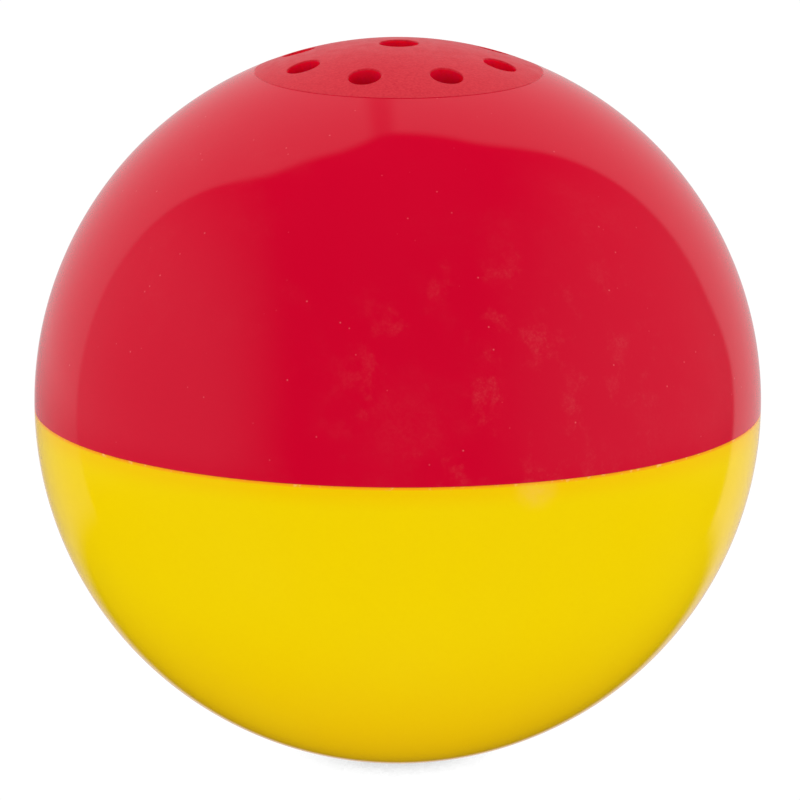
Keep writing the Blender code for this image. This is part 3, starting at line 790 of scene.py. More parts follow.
def make_module_frame(look):
    """Base plate with the battery bay, three ribbed legs and the speaker's cup."""
    low, high = PLATE_Z
    made = piece("module_frame_detail", rod(PLATE_R, low, high, sides=96), look)
    steps = [("UNION", box(BAY_LOW, BAY_HIGH))]
    ledge_r, inner_r, outer_r = CUP
    cup_z, ledge_z, rim_z = CUP_Z
    cup = [(ledge_r, cup_z), (outer_r, cup_z), (outer_r, rim_z)]
    cup += [(inner_r, rim_z), (inner_r, ledge_z), (ledge_r, ledge_z)]
    steps.append(("UNION", revolve(cup, 96, True)))
    start, thick = LEG
    for width, turn in LEG_WIDTHS:
        leg = box((start, -width / 2, high - 1), (start + thick, width / 2, cup_z + 1.5), turn)
        steps.append(("UNION", leg))
    steps += [("UNION", rod(2.0, high - 0.5, high + STANDOFF_H, x, y, 32)) for x, y in STANDOFFS]
    cuts = [rod(LOWER_BOSS_R + 0.6, -20, 20, side * BOSS_X, sides=48) for side in (-1, 1)]
    cuts += [rod(POST_PILOT_R, -20, 20, sx * POSTS[0], sy * POSTS[1], 24) for sx in (-1, 1) for sy in (-1, 1)]
    cuts += [rod(BOARD_PILOT_R, -20, 5, x, y, 24) for x, y in STANDOFFS[:2]]
    turns = [math.pi + math.pi * i / 32 for i in range(33)]
    bed = [(CELL_Y + BED_R * math.cos(t), CELL_Z + BED_R * math.sin(t)) for t in turns]
    bed += [(CELL_Y + BED_R, 20), (CELL_Y - BED_R, 20)]
    finger_slot = box((-3.5, CELL_Y - 9, -1.5), (3.5, CELL_Y, 21))
    steps += [("DIFFERENCE", cut) for cut in (merged(cuts), standing_prism(bed, -BED_X, BED_X), finger_slot)]
    combine(made, steps)
    soften(made, 0.12)
    return install(made, "lower_half", "frame_plastic", "module_frame")


# ---------------------------------------------------------------- speaker

FILM_T = 0.26
FILM_RIBS = 36


def make_speaker(looks):
    """A small inside-magnet speaker, face up."""
    foam = [(12.4, 26.7, 0.25), (14.2, 26.7, 0.25), (14.2, 27.7, 0.25), (12.4, 27.7, 0.25)]
    made = turned("speaker_gasket_foam", foam, looks["foam"], sides=96)
    install(made, "lower_half", "gasket_foam", "speaker_gasket")

    basket = [(11.9, 26.4, 0.25), (8.6, 21.5, 0.8), (6.7, 21.5, 0.15), (6.7, 20.9, 0.15), (9.0, 20.9, 0.9)]
    basket += [(12.3, 25.6, 0.5), (14.0, 25.6, 0.2), (14.0, 26.4, 0.2)]
    made = turned("speaker_basket_pressing", basket, looks["steel"], sides=96)
    windows = []
    for turn in (45, 135, 225, 315):
        window = standing_prism(rectangle((-2.8, 22.2), (2.8, 24.9), 0.8), 7.5, 14)
        bmesh.ops.rotate(window, matrix=Matrix.Rotation(math.radians(turn), 3, "Z"), verts=window.verts)
        windows.append(window)
    combine(made, [("DIFFERENCE", merged(windows))])
    install(made, "lower_half", "speaker_steel", "speaker_basket")

    yoke = [(0, 16.2), (8.0, 16.2, 0.5), (8.0, 20.6, 0.15), (6.3, 20.6, 0.15), (6.3, 17.4, 0.2), (0, 17.4)]
    made = turned("magnet_cup_turned", yoke, looks["zinc"], sides=96)
    install(made, "lower_half", "zinc_screw", "magnet_cup")
    magnet = [(0, 17.7), (4.6, 17.7, 0.15), (4.6, 19.6, 0.15), (0, 19.6)]
    install(turned("speaker_magnet_disc", magnet, looks["magnet"]), "lower_half", "magnet", "speaker_magnet")
    pole = [(0, 19.9), (4.8, 19.9, 0.12), (4.8, 20.7, 0.12), (0, 20.7)]
    install(turned("pole_plate_disc", pole, looks["zinc"]), "lower_half", "zinc_screw", "pole_plate")

    board = prism(rectangle((-4, 8.4), (4, 13.3), 0.6), 19.8, 20.6)
    made = soften(piece("speaker_terminal_board_detail", board, looks["board"]), 0.06)
    install(made, "lower_half", "board_laminate", "speaker_terminal_board")
    make_diaphragm(looks["film"])
    make_voice_coil(looks["copper"])


def make_diaphragm(look):
    """A domed film cone. Its surround has slanting pressed ribs."""
    face = [(0, 25.68), (2.6, 25.38, 2.0), (4.6, 24.68, 0.6), (5.5, 24.2, 0.4), (8.6, 25.28, 0.8)]
    face += [(9.5, 25.86, 0.4), (10.2, 25.86, 0.3), (10.58, 25.6)]
    face = rounded(face, steps=6)
    fine = []
    for (r0, z0), (r1, z1) in zip(face, face[1:]):
        cuts = max(1, int(math.hypot(r1 - r0, z1 - z0) / 0.3))
        fine += [(r0 + (r1 - r0) * i / cuts, z0 + (z1 - z0) * i / cuts) for i in range(cuts)]
    fine.append(face[-1])
    outline = fine + [(r, z - FILM_T) for r, z in reversed(fine)]
    shape = revolve(outline, 288)
    for vert in shape.verts:
        r = math.hypot(vert.co.x, vert.co.y) / MM
        band = max(0.0, min(1.0, (r - 6.0) / 0.5, (9.0 - r) / 0.6))
        turn = math.atan2(vert.co.y, vert.co.x)
        vert.co.z -= 0.05 * MM * band * (1 + math.cos(FILM_RIBS * turn + r * 1.5))
    made = piece("speaker_diaphragm_film", shape, look, 60)
    install(made, "diaphragm", "diaphragm_film", "speaker_diaphragm")


def make_voice_coil(look):
    """Enamelled turns on a thin former."""
    inner, outer, low, high = 5.15, 5.85, 19.4, 21.4
    layers = 12
    pitch = (high - low) / layers
    wire = pitch / 2
    outline = [(inner, low, 0.05)]
    for i in range(layers):
        middle = low + pitch * (i + 0.5)
        turns = [math.radians(a) for a in (-70, -35, 0, 35, 70)]
        outline += [(outer - wire + wire * math.cos(t), middle + wire * math.sin(t)) for t in turns]
    outline += [(inner + 0.3, high + 0.1, 0.05), (inner + 0.3, 23.6, 0.05), (inner, 23.6, 0.05)]
    made = turned("voice_coil_winding", outline, look, sides=96)
    install(made, "diaphragm", "copper_winding", "voice_coil")


# ---------------------------------------------------------------- board

BOARD_TOP = -0.8
PART_Z = -0.5
CHIP_AT = (-1.8, 2.8)
CAPACITOR_AT = (7.2, 5.4)
TRANSISTOR_AT = (8.4, -2.2)
RESISTOR_AT = (0.6, -4.6)
SWITCH_AT = (-9.0, 1.5)
CAPACITOR_LEAD = 1.0
LEG_PITCH = 1.27
RESISTOR_SPAN = 4.7
SPRING_R = 1.7

# The wires' routes, in millimetres
WIRES = {
    "speaker_wire_red": (
        (-2.4, 11, 19.5), (-2.6, 11.3, 17), (-4.4, 12.2, 11), (-4.8, 12.4, 5), (-4.2, 11.6, -0.5),
    ),
    "speaker_wire_black": (
        (2.4, 11, 19.5), (2.6, 11.4, 17), (3.6, 12.4, 12), (3.8, 12.4, 6), (2.6, 11.6, -0.5),
    ),
    "battery_wire_red": (
        (-11.2, -15.8, 5.6), (-11.2, -13.6, 5.2), (-11.4, -9.4, 4), (-10.8, -6.6, 2), (-10.2, -5.6, -0.5),
    ),
    "battery_wire_black": (
        (11.2, -15.8, 5.6), (11.4, -13.4, 5), (10.4, -9.4, 3.6), (6, -6.8, 2), (4.4, -6, -0.5),
    ),
}

# Where leads and wires meet the board
WIRE_ENDS = {name: points[-1][:2] for name, points in WIRES.items()}
CAPACITOR_LEADS = [(CAPACITOR_AT[0] + side * CAPACITOR_LEAD, CAPACITOR_AT[1]) for side in (-1, 1)]
TRANSISTOR_LEGS = [(TRANSISTOR_AT[0] + i * LEG_PITCH, TRANSISTOR_AT[1]) for i in (-1, 0, 1)]
RESISTOR_ENDS = [(RESISTOR_AT[0] + side * RESISTOR_SPAN, RESISTOR_AT[1]) for side in (-1, 1)]
SWITCH_PADS = [SWITCH_AT, (SWITCH_AT[0] + SPRING_R, SWITCH_AT[1])]


def make_circuit_board(looks):
    low, high = box_of("circuit_board")
    board = prism(rectangle(low.xy, high.xy, 0.8), low.z, high.z)
    made = piece("circuit_board_detail", board, looks["board"])
    holes = [rod(BOARD_PILOT_R, -10, 5, x, y, 32) for x, y in STANDOFFS[:2]]
    combine(made, [("DIFFERENCE", merged(holes))])
    install(soften(made, 0.06), "lower_half", "board_laminate", "circuit_board")
    make_tracks(looks["track"])
    make_solder(looks["solder"])

    drop = [(0, 1.65), (2.0, 1.6, 1.5), (3.6, 1.1, 1.0), (4.1, 0.3, 0.3), (4.1, 0), (0, 0)]
    blob = revolve(rounded(drop, steps=8), 96)
    for vert in blob.verts:
        if vert.co.z > 0:
            vert.co *= 1 + 0.02 * (noise.noise(vert.co / MM * 0.5) - 0.5)
    made = piece("sound_chip_cover_blob", blob, looks["epoxy"], 60)
    made.location = Vector((*CHIP_AT, PART_Z)) * MM
    install(made, "lower_half", "black_epoxy", "sound_chip_cover")
    make_capacitor(looks["sleeve"])
    make_transistor(looks["transistor"])
    make_resistor(looks["resistor"])


def track(points, width=0.55):
    """A flat mitred track lying on the board."""
    points = [Vector(p) for p in points]
    left, right = [], []
    for i, point in enumerate(points):
        before = (point - points[i - 1]).normalized() if i else (points[1] - point).normalized()
        after = (points[i + 1] - point).normalized() if i < len(points) - 1 else before
        across = (before + after).normalized().orthogonal()
        reach = width / 2 / max(0.3, across.dot(before.orthogonal()))
        left.append(tuple(point + across * reach))
        right.append(tuple(point - across * reach))
    return prism(left + right[::-1], BOARD_TOP - 0.05, BOARD_TOP + 0.035)


def chip_pad(x, y):
    """A point on the board measured from the sound chip."""
    return (CHIP_AT[0] + x, CHIP_AT[1] + y)


def make_tracks(look):
    legs = TRANSISTOR_LEGS
    routes = [
        [WIRE_ENDS["battery_wire_red"], (-8.0, -3.4), (-4.6, -0.6), chip_pad(-2.4, -3.0)],
        [WIRE_ENDS["battery_wire_black"], (2.4, -3.2), (1.4, -1.8), chip_pad(2.2, -3.2)],
        [WIRE_ENDS["speaker_wire_red"], (-4.2, 9.0), chip_pad(-1.8, 3.4)],
        [WIRE_ENDS["speaker_wire_black"], (2.6, 9.4), (8.2, 9.4), (11.6, 6), (11.6, -0.4), legs[2]],
        [RESISTOR_ENDS[0], (-5.6, -3.0), (-5.6, 0.4), chip_pad(-3.6, -1.2)],
        [RESISTOR_ENDS[1], (6.2, -4.0), (6.4, -2.9), legs[0]],
        [legs[1], (8.4, 0.6), (8.2, 4.0), CAPACITOR_LEADS[1]],
        [CAPACITOR_LEADS[0], (4.4, 4.2), chip_pad(3.8, 1.0)],
        [SWITCH_PADS[1], (-6.4, 2.4), chip_pad(-3.8, 0.2)],
        [SWITCH_PADS[0], (-11.4, 3.4), (-11.4, 7.6), (-8.4, 9.0), (-5.6, 9.0), chip_pad(-2.8, 2.8)],
    ]
    made = piece("board_tracks", merged([track(route) for route in routes]), look)
    install(made, "lower_half", "board_laminate")


def make_solder(look):
    """Solder cones on the board and beads on the speaker's terminals and the battery contacts."""
    shapes = []

    def bead(outline, matrix):
        one = revolve(outline, 24)
        bmesh.ops.transform(one, matrix=matrix, verts=one.verts)
        shapes.append(one)

    cone = [(0, -0.05), (0.85, -0.05), (0.8, 0.05), (0.5, 0.18), (0.32, 0.42), (0.25, 0.62), (0, 0.68)]
    for x, y in [*WIRE_ENDS.values(), *CAPACITOR_LEADS, *TRANSISTOR_LEGS, *RESISTOR_ENDS, *SWITCH_PADS]:
        bead(cone, Matrix.Translation(Vector((x, y, BOARD_TOP)) * MM))
    for colour in ("red", "black"):
        x, y, z = WIRES["speaker_wire_" + colour][0]
        bead([(r, -h) for r, h in cone], Matrix.Translation(Vector((x, y, z + 0.3)) * MM))
    cap = [(0, 0), (0.95, 0), (0.85, 0.25), (0.5, 0.5), (0, 0.6)]
    for colour, end in (("red", "positive"), ("black", "negative")):
        x, y, z = WIRES["battery_wire_" + colour][0]
        low, high = box_of("battery_contact_" + end)
        face = low.x if x < 0 else high.x
        tilt = Matrix.Rotation(math.copysign(math.pi / 2, x), 4, "Y")
        bead(cap, Matrix.Translation(Vector((face, y, z)) * MM) @ tilt)
    install(piece("solder_joints", merged(shapes), look, 50), "lower_half", "contact_nickel")


def make_capacitor(look):
    """A sleeved can with a rolled groove, a scored top and two leads."""
    can = [(0, 0.05), (2.2, 0.05, 0.2), (2.45, 0.5, 0.2), (2.45, 1.0, 0.2), (2.28, 1.3, 0.15)]
    can += [(2.45, 1.6, 0.2), (2.48, 6.7, 0.3), (2.1, 7.0, 0.1), (1.95, 6.9, 0.05), (0, 6.9)]
    made = turned("capacitor_can", can, look)
    scores = [box((-1.3, -0.08, 6.8), (1.3, 0.08, 7.5), turn) for turn in (0, 90)]
    combine(made, [("DIFFERENCE", one) for one in scores])
    add_to(made, merged([rod(0.28, -0.4, 0.4, side * CAPACITOR_LEAD, sides=16) for side in (-1, 1)]))
    made.location = Vector((*CAPACITOR_AT, PART_Z)) * MM
    install(made, "lower_half", "capacitor_sleeve", "capacitor")


def make_transistor(look):
    """A round body with one flat side, on three square legs."""
    radius, flat = 2.38, 33.2
    outline = arc(radius, 90 + flat, 450 - flat, 40)
    made = soften(piece("transistor_body", prism(outline, 1.2, 5.78), look), 0.12)
    half = 0.22
    middles = [i * LEG_PITCH for i in (-1, 0, 1)]
    add_to(made, merged([box((x - half, -half, -0.35), (x + half, half, 1.6)) for x in middles]))
    made.location = Vector((*TRANSISTOR_AT, PART_Z)) * MM
    install(made, "lower_half", "black_epoxy", "transistor")


def make_resistor(look):
    """A banded bead with its two leads bent down to the board."""
    half = [(0.82, 1.6, 0.4), (1.03, 2.0, 0.5), (1.0, 2.95, 0.3), (0.45, 3.25, 0.2), (0, 3.3)]
    mirrored = [(point[0], -point[1], *point[2:]) for point in reversed(half)]
    body = revolve(rounded(mirrored + half), 40)
    bmesh.ops.transform(body, matrix=Matrix.Rotation(math.pi / 2, 4, "Y"), verts=body.verts)
    rise, bend_r = 1.05, 0.7
    turns = [math.radians(angle) for angle in (90, 60, 30, 0)]
    bend = [(RESISTOR_SPAN - bend_r * math.cos(t), bend_r * math.sin(t) - bend_r) for t in turns]
    route = [(3.1, 0.0)] + bend + [(RESISTOR_SPAN, -rise - 0.3)]
    leads = [swept([(side * x, 0, z) for x, z in route], 0.26) for side in (-1, 1)]
    made = piece("resistor_bead", merged([body] + leads), look)
    made.location = Vector((*RESISTOR_AT, PART_Z + rise)) * MM
    install(made, "lower_half", "resistor_body", "resistor")


def make_motion_switch(look):
    """A stiff pin inside a soft coil that wags into it."""
    low, high = box_of("motion_pin")
    pin = [(0, low.z - 0.3), (0.4, low.z - 0.3), (0.4, high.z, 0.3), (0, high.z)]
    made = turned("motion_pin_turned", pin, look, at=(*SWITCH_AT, 0), sides=32)
    install(made, "lower_half", "contact_nickel", "motion_pin")
    wire, height, coils, per_coil = 0.25, 8.6, 8, 24
    points = []
    for i in range(coils * per_coil + 1):
        turn = math.tau * i / per_coil
        z = wire + height * i / (coils * per_coil)
        points.append((SPRING_R * math.cos(turn), SPRING_R * math.sin(turn), z))
    made = piece("motion_spring_coil", swept(points, wire, 12), look, 60)
    made.location = Vector((*SWITCH_AT, PART_Z)) * MM
    install(made, "motion_coil", "contact_nickel", "motion_spring")


# ---------------------------------------------------------------- battery and wires

# Points of a wire's route, from either end, where its insulation starts
BARE_END = 6


def make_battery(looks):
    """Three button cells between a flat contact and a sprung one."""
    cell = [(0, 0), (5.35, 0, 0.3), (5.78, 0.25, 0.35), (5.78, 4.8, 0.5), (5.1, 5.15, 0.15)]
    cell += [(4.95, 5.02, 0.05), (4.75, 5.05, 0.05), (4.65, 5.38, 0.2), (0, 5.38)]
    for number in (1, 2, 3):
        node = f"button_cell_{number}"
        low, _ = box_of(node)
        made = turned(node + "_can", cell, looks["cell"], (low.x, CELL_Y, CELL_Z), (0, math.pi / 2, 0), 96)
        install(made, "lower_half", "cell_can", node)
    for node in ("battery_contact_positive", "battery_contact_negative"):
        shape = bmesh.new()
        shape.from_mesh(bpy.data.objects[node].data)
        bmesh.ops.remove_doubles(shape, verts=shape.verts, dist=1e-6)
        bmesh.ops.dissolve_limit(shape, angle_limit=math.radians(2), verts=shape.verts, edges=shape.edges)
        made = soften(piece(node + "_strip", shape, looks["nickel"]), 0.09)
        install(made, "lower_half", "contact_nickel", node)


def make_wires(looks):
    """Insulated links with short bare ends."""
    tips = []
    for name, points in WIRES.items():
        route = smooth_route(points)
        look = looks[name.split("_")[-1] + "_wire"]
        made = piece(name + "_skin", swept(route[BARE_END:-BARE_END], 0.58), look, 60)
        slot = "red_insulation" if name.endswith("red") else "black_insulation"
        install(made, "lower_half", slot, name)
        tips += [swept(route[: BARE_END + 2], 0.3), swept(route[-BARE_END - 2 :], 0.3)]
    install(piece("wire_tips", merged(tips), looks["solder"], 60), "lower_half", "contact_nickel")


# ---------------------------------------------------------------- inner materials


def metal(name, colour, roughness, streak=(1, 1, 1), scale=900, spots=0.0):
    """Plated or drawn metal: streaked roughness, faint tarnish and a fine bump."""
    look = Look(name, colour, roughness, 1.0)
    fine = look.noise(scale, 4, 0.6, streak)
    cloud = look.noise(180, 4)
    darker = tuple(c * 0.72 for c in colour)
    look.colour(look.mix(look.spread(cloud, 0.35, 0.75, 0.0, 0.6 + spots), colour, darker))
    look.roughen(look.spread(fine, 0.3, 0.7, roughness * 0.75, min(1.0, roughness * 1.45)))
    look.bump(fine, 0.006 * MM, 0.5)
    return look


def polymer(name, colour, roughness, grain=2500, depth=0.012, vary=0.25, **sockets):
    """Moulded or cast plastic: slight colour drift, grain and uneven gloss."""
    look = Look(name, colour, roughness, 0.0, **sockets)
    cloud = look.noise(220, 4)
    fine = look.noise(grain, 3)
    lighter = tuple(min(1.0, c * (1 + vary) + 0.01 * vary) for c in colour)
    look.colour(look.mix(look.spread(cloud, 0.3, 0.7), colour, lighter))
    look.roughen(look.spread(look.noise(420, 3), 0.3, 0.7, roughness * 0.8, min(1.0, roughness * 1.25)))
    look.bump(fine, depth * MM, 0.7)
    return look


def foam_look():
    look = Look("gasket_foam", (0.018, 0.018, 0.02), 0.95)
    pores = look.cells(5200)
    look.colour(look.mix(look.spread(pores, 0.1, 0.6), (0.006, 0.006, 0.007), (0.035, 0.035, 0.038)))
    look.bump(pores, 0.06 * MM, 0.9)
    return look.material


def laminate_look(name, colour, paler):
    """Glass-cloth laminate: a fine crossed weave under the lacquer."""
    look = Look(name, colour, 0.34)
    along = look.noise(2600, 2, 0.5, (0.15, 1, 1))
    across = look.noise(2600, 2, 0.5, (1, 0.15, 1))
    weave = look.maths("ADD", along, across)
    look.colour(look.mix(look.spread(weave, 0.75, 1.25), colour, paler))
    look.roughen(look.spread(look.noise(500, 3), 0.3, 0.7, 0.28, 0.44))
    look.bump(weave, 0.01 * MM, 0.5)
    return look.material


def copper_look():
    look = metal("copper_winding", (0.72, 0.30, 0.12), 0.34, (0.3, 0.3, 1), 2400)
    former = look.spread(look.axis("Z"), 21.5 * MM, 21.6 * MM)
    look.tint(former, (0.45, 0.22, 0.06))
    look.feed(look.shader.inputs["Metallic"], look.maths("SUBTRACT", 1.0, former))
    return look.material


def film_look():
    """Formed polyester film with stress-whitened ribs."""
    look = polymer("diaphragm_film", (0.50, 0.44, 0.33), 0.22, 1800, 0.006, 0.2, IOR=1.6)
    ribs = look.noise(1500, 2, 0.5, (1, 1, 0.2))
    look.tint(look.spread(ribs, 0.55, 0.7, 0.0, 0.35), (0.72, 0.68, 0.58))
    return look.material


def masked(look, mask, colour, metallic, roughness):
    """Lays a second finish over a look where the mask is 1."""
    look.tint(mask, colour)
    rough, metal_part = look.shader.inputs["Roughness"], look.shader.inputs["Metallic"]
    look.roughen(look.spread(mask, 0.0, 1.0, rough.links[0].from_socket, roughness))
    look.feed(metal_part, look.spread(mask, 0.0, 1.0, metal_part.default_value, metallic))


def sleeve_look():
    """Dark blue shrink sleeve with a pale polarity stripe, open over the aluminium top."""
    look = polymer("capacitor_sleeve", (0.012, 0.03, 0.13), 0.28, 1200, 0.01, 0.3)
    x, z = look.axis("X"), look.axis("Z")
    stripe = look.times(look.spread(x, -1.9 * MM, -1.95 * MM), look.spread(z, 0.6 * MM, 0.7 * MM))
    look.tint(stripe, (0.62, 0.66, 0.70))
    inside = look.spread(look.from_axis(), 2.05 * MM, 1.98 * MM)
    top = look.times(look.spread(z, 6.6 * MM, 6.7 * MM), inside)
    leads = look.spread(z, 0.05 * MM, 0.0)
    masked(look, look.maths("MAXIMUM", top, leads), (0.68, 0.68, 0.67), 1.0, 0.3)
    return look.material


def transistor_look():
    look = polymer("transistor_epoxy", (0.014, 0.014, 0.015), 0.42, 2600, 0.02, 0.6)
    masked(look, look.spread(look.axis("Z"), 1.2 * MM, 1.15 * MM), (0.62, 0.61, 0.58), 1.0, 0.3)
    return look.material


def resistor_look():
    """Lacquered body with four colour bands and tinned leads."""
    look = polymer("resistor_body", (0.62, 0.46, 0.26), 0.38, 1500, 0.01, 0.15)
    x = look.axis("X")
    brown, black = (0.30, 0.05, 0.01), (0.01, 0.01, 0.01)
    orange, gold = (0.75, 0.25, 0.01), (0.55, 0.38, 0.10)
    for middle, colour in ((-2.45, brown), (-1.1, black), (0.1, orange), (2.45, gold)):
        away = look.maths("ABSOLUTE", look.maths("SUBTRACT", x, middle * MM))
        look.tint(look.spread(away, 0.30 * MM, 0.26 * MM), colour)
    ends = look.spread(look.maths("ABSOLUTE", x), 3.2 * MM, 3.3 * MM)
    masked(look, ends, (0.66, 0.65, 0.62), 1.0, 0.3)
    return look.material


def cell_look():
    """Nickel-plated can, with the grey sealing ring round its cap."""
    look = metal("cell_can", (0.70, 0.69, 0.66), 0.22, (1, 1, 0.15), 700)
    radius = look.from_axis()
    ring = look.times(look.spread(radius, 4.7 * MM, 4.74 * MM), look.spread(radius, 5.0 * MM, 4.96 * MM))
    ring = look.times(ring, look.spread(look.axis("Z"), 4.8 * MM, 4.9 * MM))
    masked(look, ring, (0.05, 0.06, 0.06), 0.0, 0.6)
    return look.material


def inner_looks():
    return {
        "frame": polymer("frame_plastic", (0.028, 0.028, 0.032), 0.5, 2200, 0.02, 0.5).material,
        "zinc": metal("zinc_plate", (0.62, 0.61, 0.57), 0.3).material,
        "steel": metal("speaker_steel", (0.50, 0.50, 0.49), 0.36, (1, 1, 0.2)).material,
        "magnet": metal("magnet_nickel", (0.64, 0.62, 0.58), 0.24, scale=400).material,
        "nickel": metal("contact_nickel", (0.70, 0.67, 0.60), 0.26, (1, 1, 0.15)).material,
        "solder": metal("solder", (0.60, 0.60, 0.60), 0.30, scale=1500, spots=0.3).material,
        "film": film_look(),
        "copper": copper_look(),
        "foam": foam_look(),
        "board": laminate_look("board_laminate", (0.012, 0.16, 0.05), (0.03, 0.24, 0.08)),
        "track": laminate_look("board_track", (0.02, 0.27, 0.09), (0.05, 0.34, 0.13)),
        "epoxy": polymer("chip_epoxy", (0.010, 0.010, 0.011), 0.24, 900, 0.02, 0.6).material,
        "transistor": transistor_look(),
        "sleeve": sleeve_look(),
        "resistor": resistor_look(),
        "cell": cell_look(),
        "red_wire": polymer("red_insulation", (0.50, 0.012, 0.012), 0.4, 1500, 0.01, 0.2).material,
        "black_wire": polymer("black_insulation", (0.016, 0.016, 0.017), 0.42, 1500, 0.01, 0.6).material,
    }


# ---------------------------------------------------------------- studio

VIEW_ELEVATION = 12.6
VIEW_ROLL = 0.2
VIEW_DISTANCE = 23.4 * BALL_R * MM
VIEW_LENS = 382.3
VIEW_TARGET = (0.22 * MM, 0.0, 0.02 * MM)

TENT_LIGHT = 0.57
TENT_EDGE = 0.035
TENT_WARMTH = 0.2
RING_LIGHT = 1.45


def make_camera():
    data = bpy.data.cameras.new("camera")
    data.lens = VIEW_LENS
    data.sensor_width = 36.0
    data.clip_start, data.clip_end = 0.01, 50.0
    camera = bpy.data.objects.new("camera", data)
    bpy.context.scene.collection.objects.link(camera)
    tilt = math.radians(VIEW_ELEVATION)
    away = Vector((0, -math.cos(tilt), math.sin(tilt)))
    camera.location = Vector(VIEW_TARGET) + away * VIEW_DISTANCE
    aim = (-away).to_track_quat("-Z", "Y").to_matrix()
    camera.rotation_euler = (aim @ Matrix.Rotation(math.radians(VIEW_ROLL), 3, "Z")).to_euler()
    bpy.context.scene.camera = camera


def make_world():
    """A light tent: even light, brighter in a ring behind, and for reflections a pale back and dim walls."""
    world = bpy.data.worlds.new("studio")
    bpy.context.scene.world = world
    world.use_nodes = True
    graph = Graph(world.node_tree)
    maths, times = graph.maths, graph.times
    split = graph.node("ShaderNodeSeparateXYZ")
    graph.feed(split.inputs[0], graph.node("ShaderNodeTexCoord").outputs["Generated"])
    x, y, z = split.outputs

    def ramp(value, *limits):
        return graph.spread(value, *limits, smooth=True)

    front_edge = maths("ADD", ramp(x, -0.87, -0.45, 0.33, 0.0), ramp(x, -0.25, 0.0, 0.17, 0.27))
    front_edge = maths("ADD", front_edge, ramp(x, 0.25, 0.85, 0.0, 0.36))
    right_low = times(ramp(x, 0.5, 0.7), ramp(z, 0.15, -0.1, 0.0, 0.07))
    front_edge = maths("ADD", front_edge, right_low)
    tent = ramp(maths("SUBTRACT", y, front_edge), -TENT_EDGE, TENT_EDGE)
    seam = times(times(ramp(x, -0.13, -0.07), ramp(x, -0.05, 0.01, 1.0, 0.0)), ramp(z, 0.3, 0.6))
    tent_light = maths("SUBTRACT", TENT_LIGHT, times(seam, 0.30))
    tent_light = times(tent_light, ramp(z, -0.45, -0.37))
    left_low = times(ramp(x, -0.1, -0.3), ramp(z, -0.1, -0.25, 0.0, 0.4))
    tent_light = times(tent_light, maths("SUBTRACT", 1.0, left_low))
    walls = maths("ADD", ramp(x, -0.5, -0.92, 0.0, 0.34), ramp(x, 0.35, 1.05, 0.0, 0.26))
    walls = times(walls, ramp(z, -0.4, -0.12))
    reflected = maths("MAXIMUM", times(tent, tent_light), maths("ADD", walls, 0.01))

    path = graph.node("ShaderNodeLightPath")
    glossy = path.outputs["Is Glossy Ray"]
    back_ring = times(ramp(y, 0.35, 0.5, 0.0, RING_LIGHT), ramp(y, 0.6, 0.85, 1.0, 0.0))
    even = maths("ADD", times(path.outputs["Is Diffuse Ray"], back_ring), 1.0)
    even = times(maths("SUBTRACT", 1.0, glossy), even)
    colour = graph.node("ShaderNodeCombineColor")
    red = maths("ADD", 1.0, times(glossy, TENT_WARMTH))
    for socket, value in (("Red", red), ("Green", 1.0), ("Blue", 1.0)):
        graph.feed(colour.inputs[socket], value)
    background = graph.nodes["Background"]
    graph.feed(background.inputs["Color"], colour.outputs[0])
    graph.feed(background.inputs["Strength"], maths("ADD", times(glossy, reflected), even))
    world.cycles.sampling_method = "NONE"


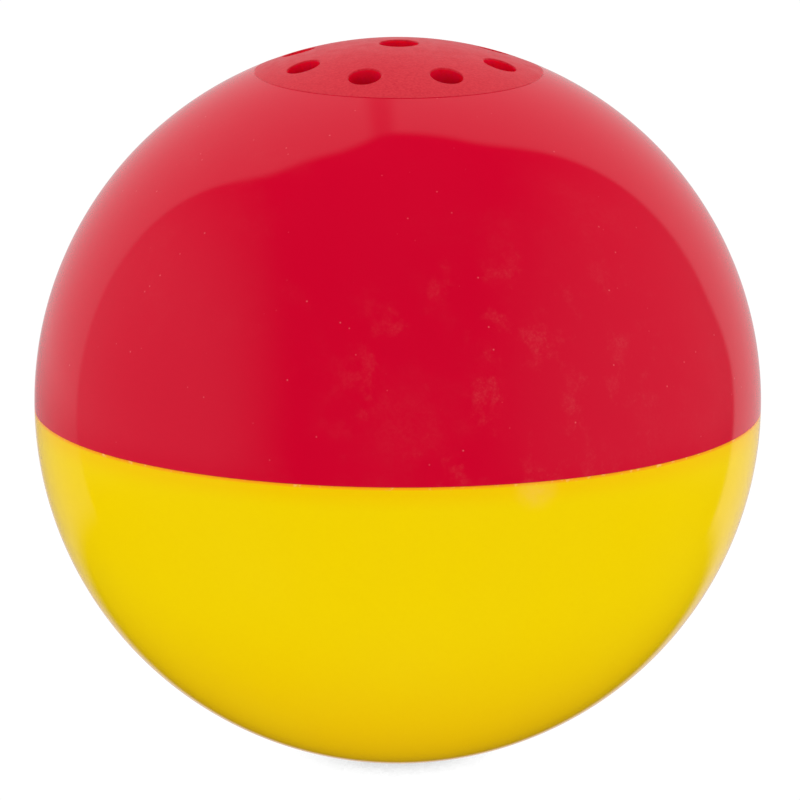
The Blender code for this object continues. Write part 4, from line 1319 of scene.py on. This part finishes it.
def make_floor():
    """A plain white sweep that shows only the ball's contact shadow."""
    material = bpy.data.materials.new("white_sweep")
    material.use_nodes = True
    graph = Graph(material.node_tree)
    graph.nodes.clear()
    split = graph.node("ShaderNodeSeparateXYZ")
    graph.feed(split.inputs[0], graph.node("ShaderNodeTexCoord").outputs["Object"])
    occlusion = graph.node("ShaderNodeAmbientOcclusion", samples=16)
    occlusion.inputs["Distance"].default_value = 0.5
    lighting = graph.spread(split.outputs["Y"], 0.0, 45 * MM, 1.0, 1.3)
    seen = graph.spread(occlusion.outputs["AO"], 0.028, 0.057, 0.52, 1.02)
    choice = graph.node("ShaderNodeMix")
    graph.feed(choice.inputs["Factor"], graph.node("ShaderNodeLightPath").outputs["Is Camera Ray"])
    graph.feed(choice.inputs["A"], lighting)
    graph.feed(choice.inputs["B"], seen)
    light = graph.node("ShaderNodeEmission")
    graph.feed(light.inputs["Strength"], choice.outputs["Result"])
    output = graph.node("ShaderNodeOutputMaterial")
    graph.feed(output.inputs["Surface"], light.outputs[0])
    floor = piece("floor", revolve([(0, 0), (60, 0), (3000, 0)], 64), material)
    floor.location.z = -BALL_R * MM
    floor.visible_glossy = False


# ---------------------------------------------------------------- build

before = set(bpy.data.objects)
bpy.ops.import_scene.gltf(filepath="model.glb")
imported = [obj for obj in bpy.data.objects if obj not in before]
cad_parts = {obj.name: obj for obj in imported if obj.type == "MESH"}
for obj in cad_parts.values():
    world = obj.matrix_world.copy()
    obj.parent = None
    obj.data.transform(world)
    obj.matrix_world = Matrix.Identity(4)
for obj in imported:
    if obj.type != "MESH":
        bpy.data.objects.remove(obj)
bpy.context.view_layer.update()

scene = bpy.context.scene
scene.view_settings.view_transform = "Standard"

upper = make_upper_shell(red_case())
fit_upper_shell(upper)
# The inner red is lighter than the case's own, a painted glow in the grille holes
finish_faces(upper, moulding_inside("red_case_inside", RED_INSIDE_PAINTED_GLOW, (1.0, 0.08, 0.1)), grille_disc())
install(upper, "upper_half", "red_case", "upper_shell")
lower = make_lower_shell(yellow_case())
finish_faces(lower, moulding_inside("yellow_case_inside", YELLOW, (1.0, 0.7, 0.05)))
install(lower, "lower_half", "yellow_case", "lower_shell")

looks = inner_looks()
for label in ("left", "right"):
    make_screw(f"case_screw_{label}", CASE_SCREW, looks["zinc"], upside_down=True)
    make_screw(f"board_screw_{label}", BOARD_SCREW, looks["zinc"])
for number in (1, 2, 3, 4):
    make_screw(f"frame_screw_{number}", FRAME_SCREW, looks["zinc"])
make_module_frame(looks["frame"])
make_speaker(looks)
make_circuit_board(looks)
make_motion_switch(looks["nickel"])
make_battery(looks)
make_wires(looks)

make_world()
make_floor()
make_camera()
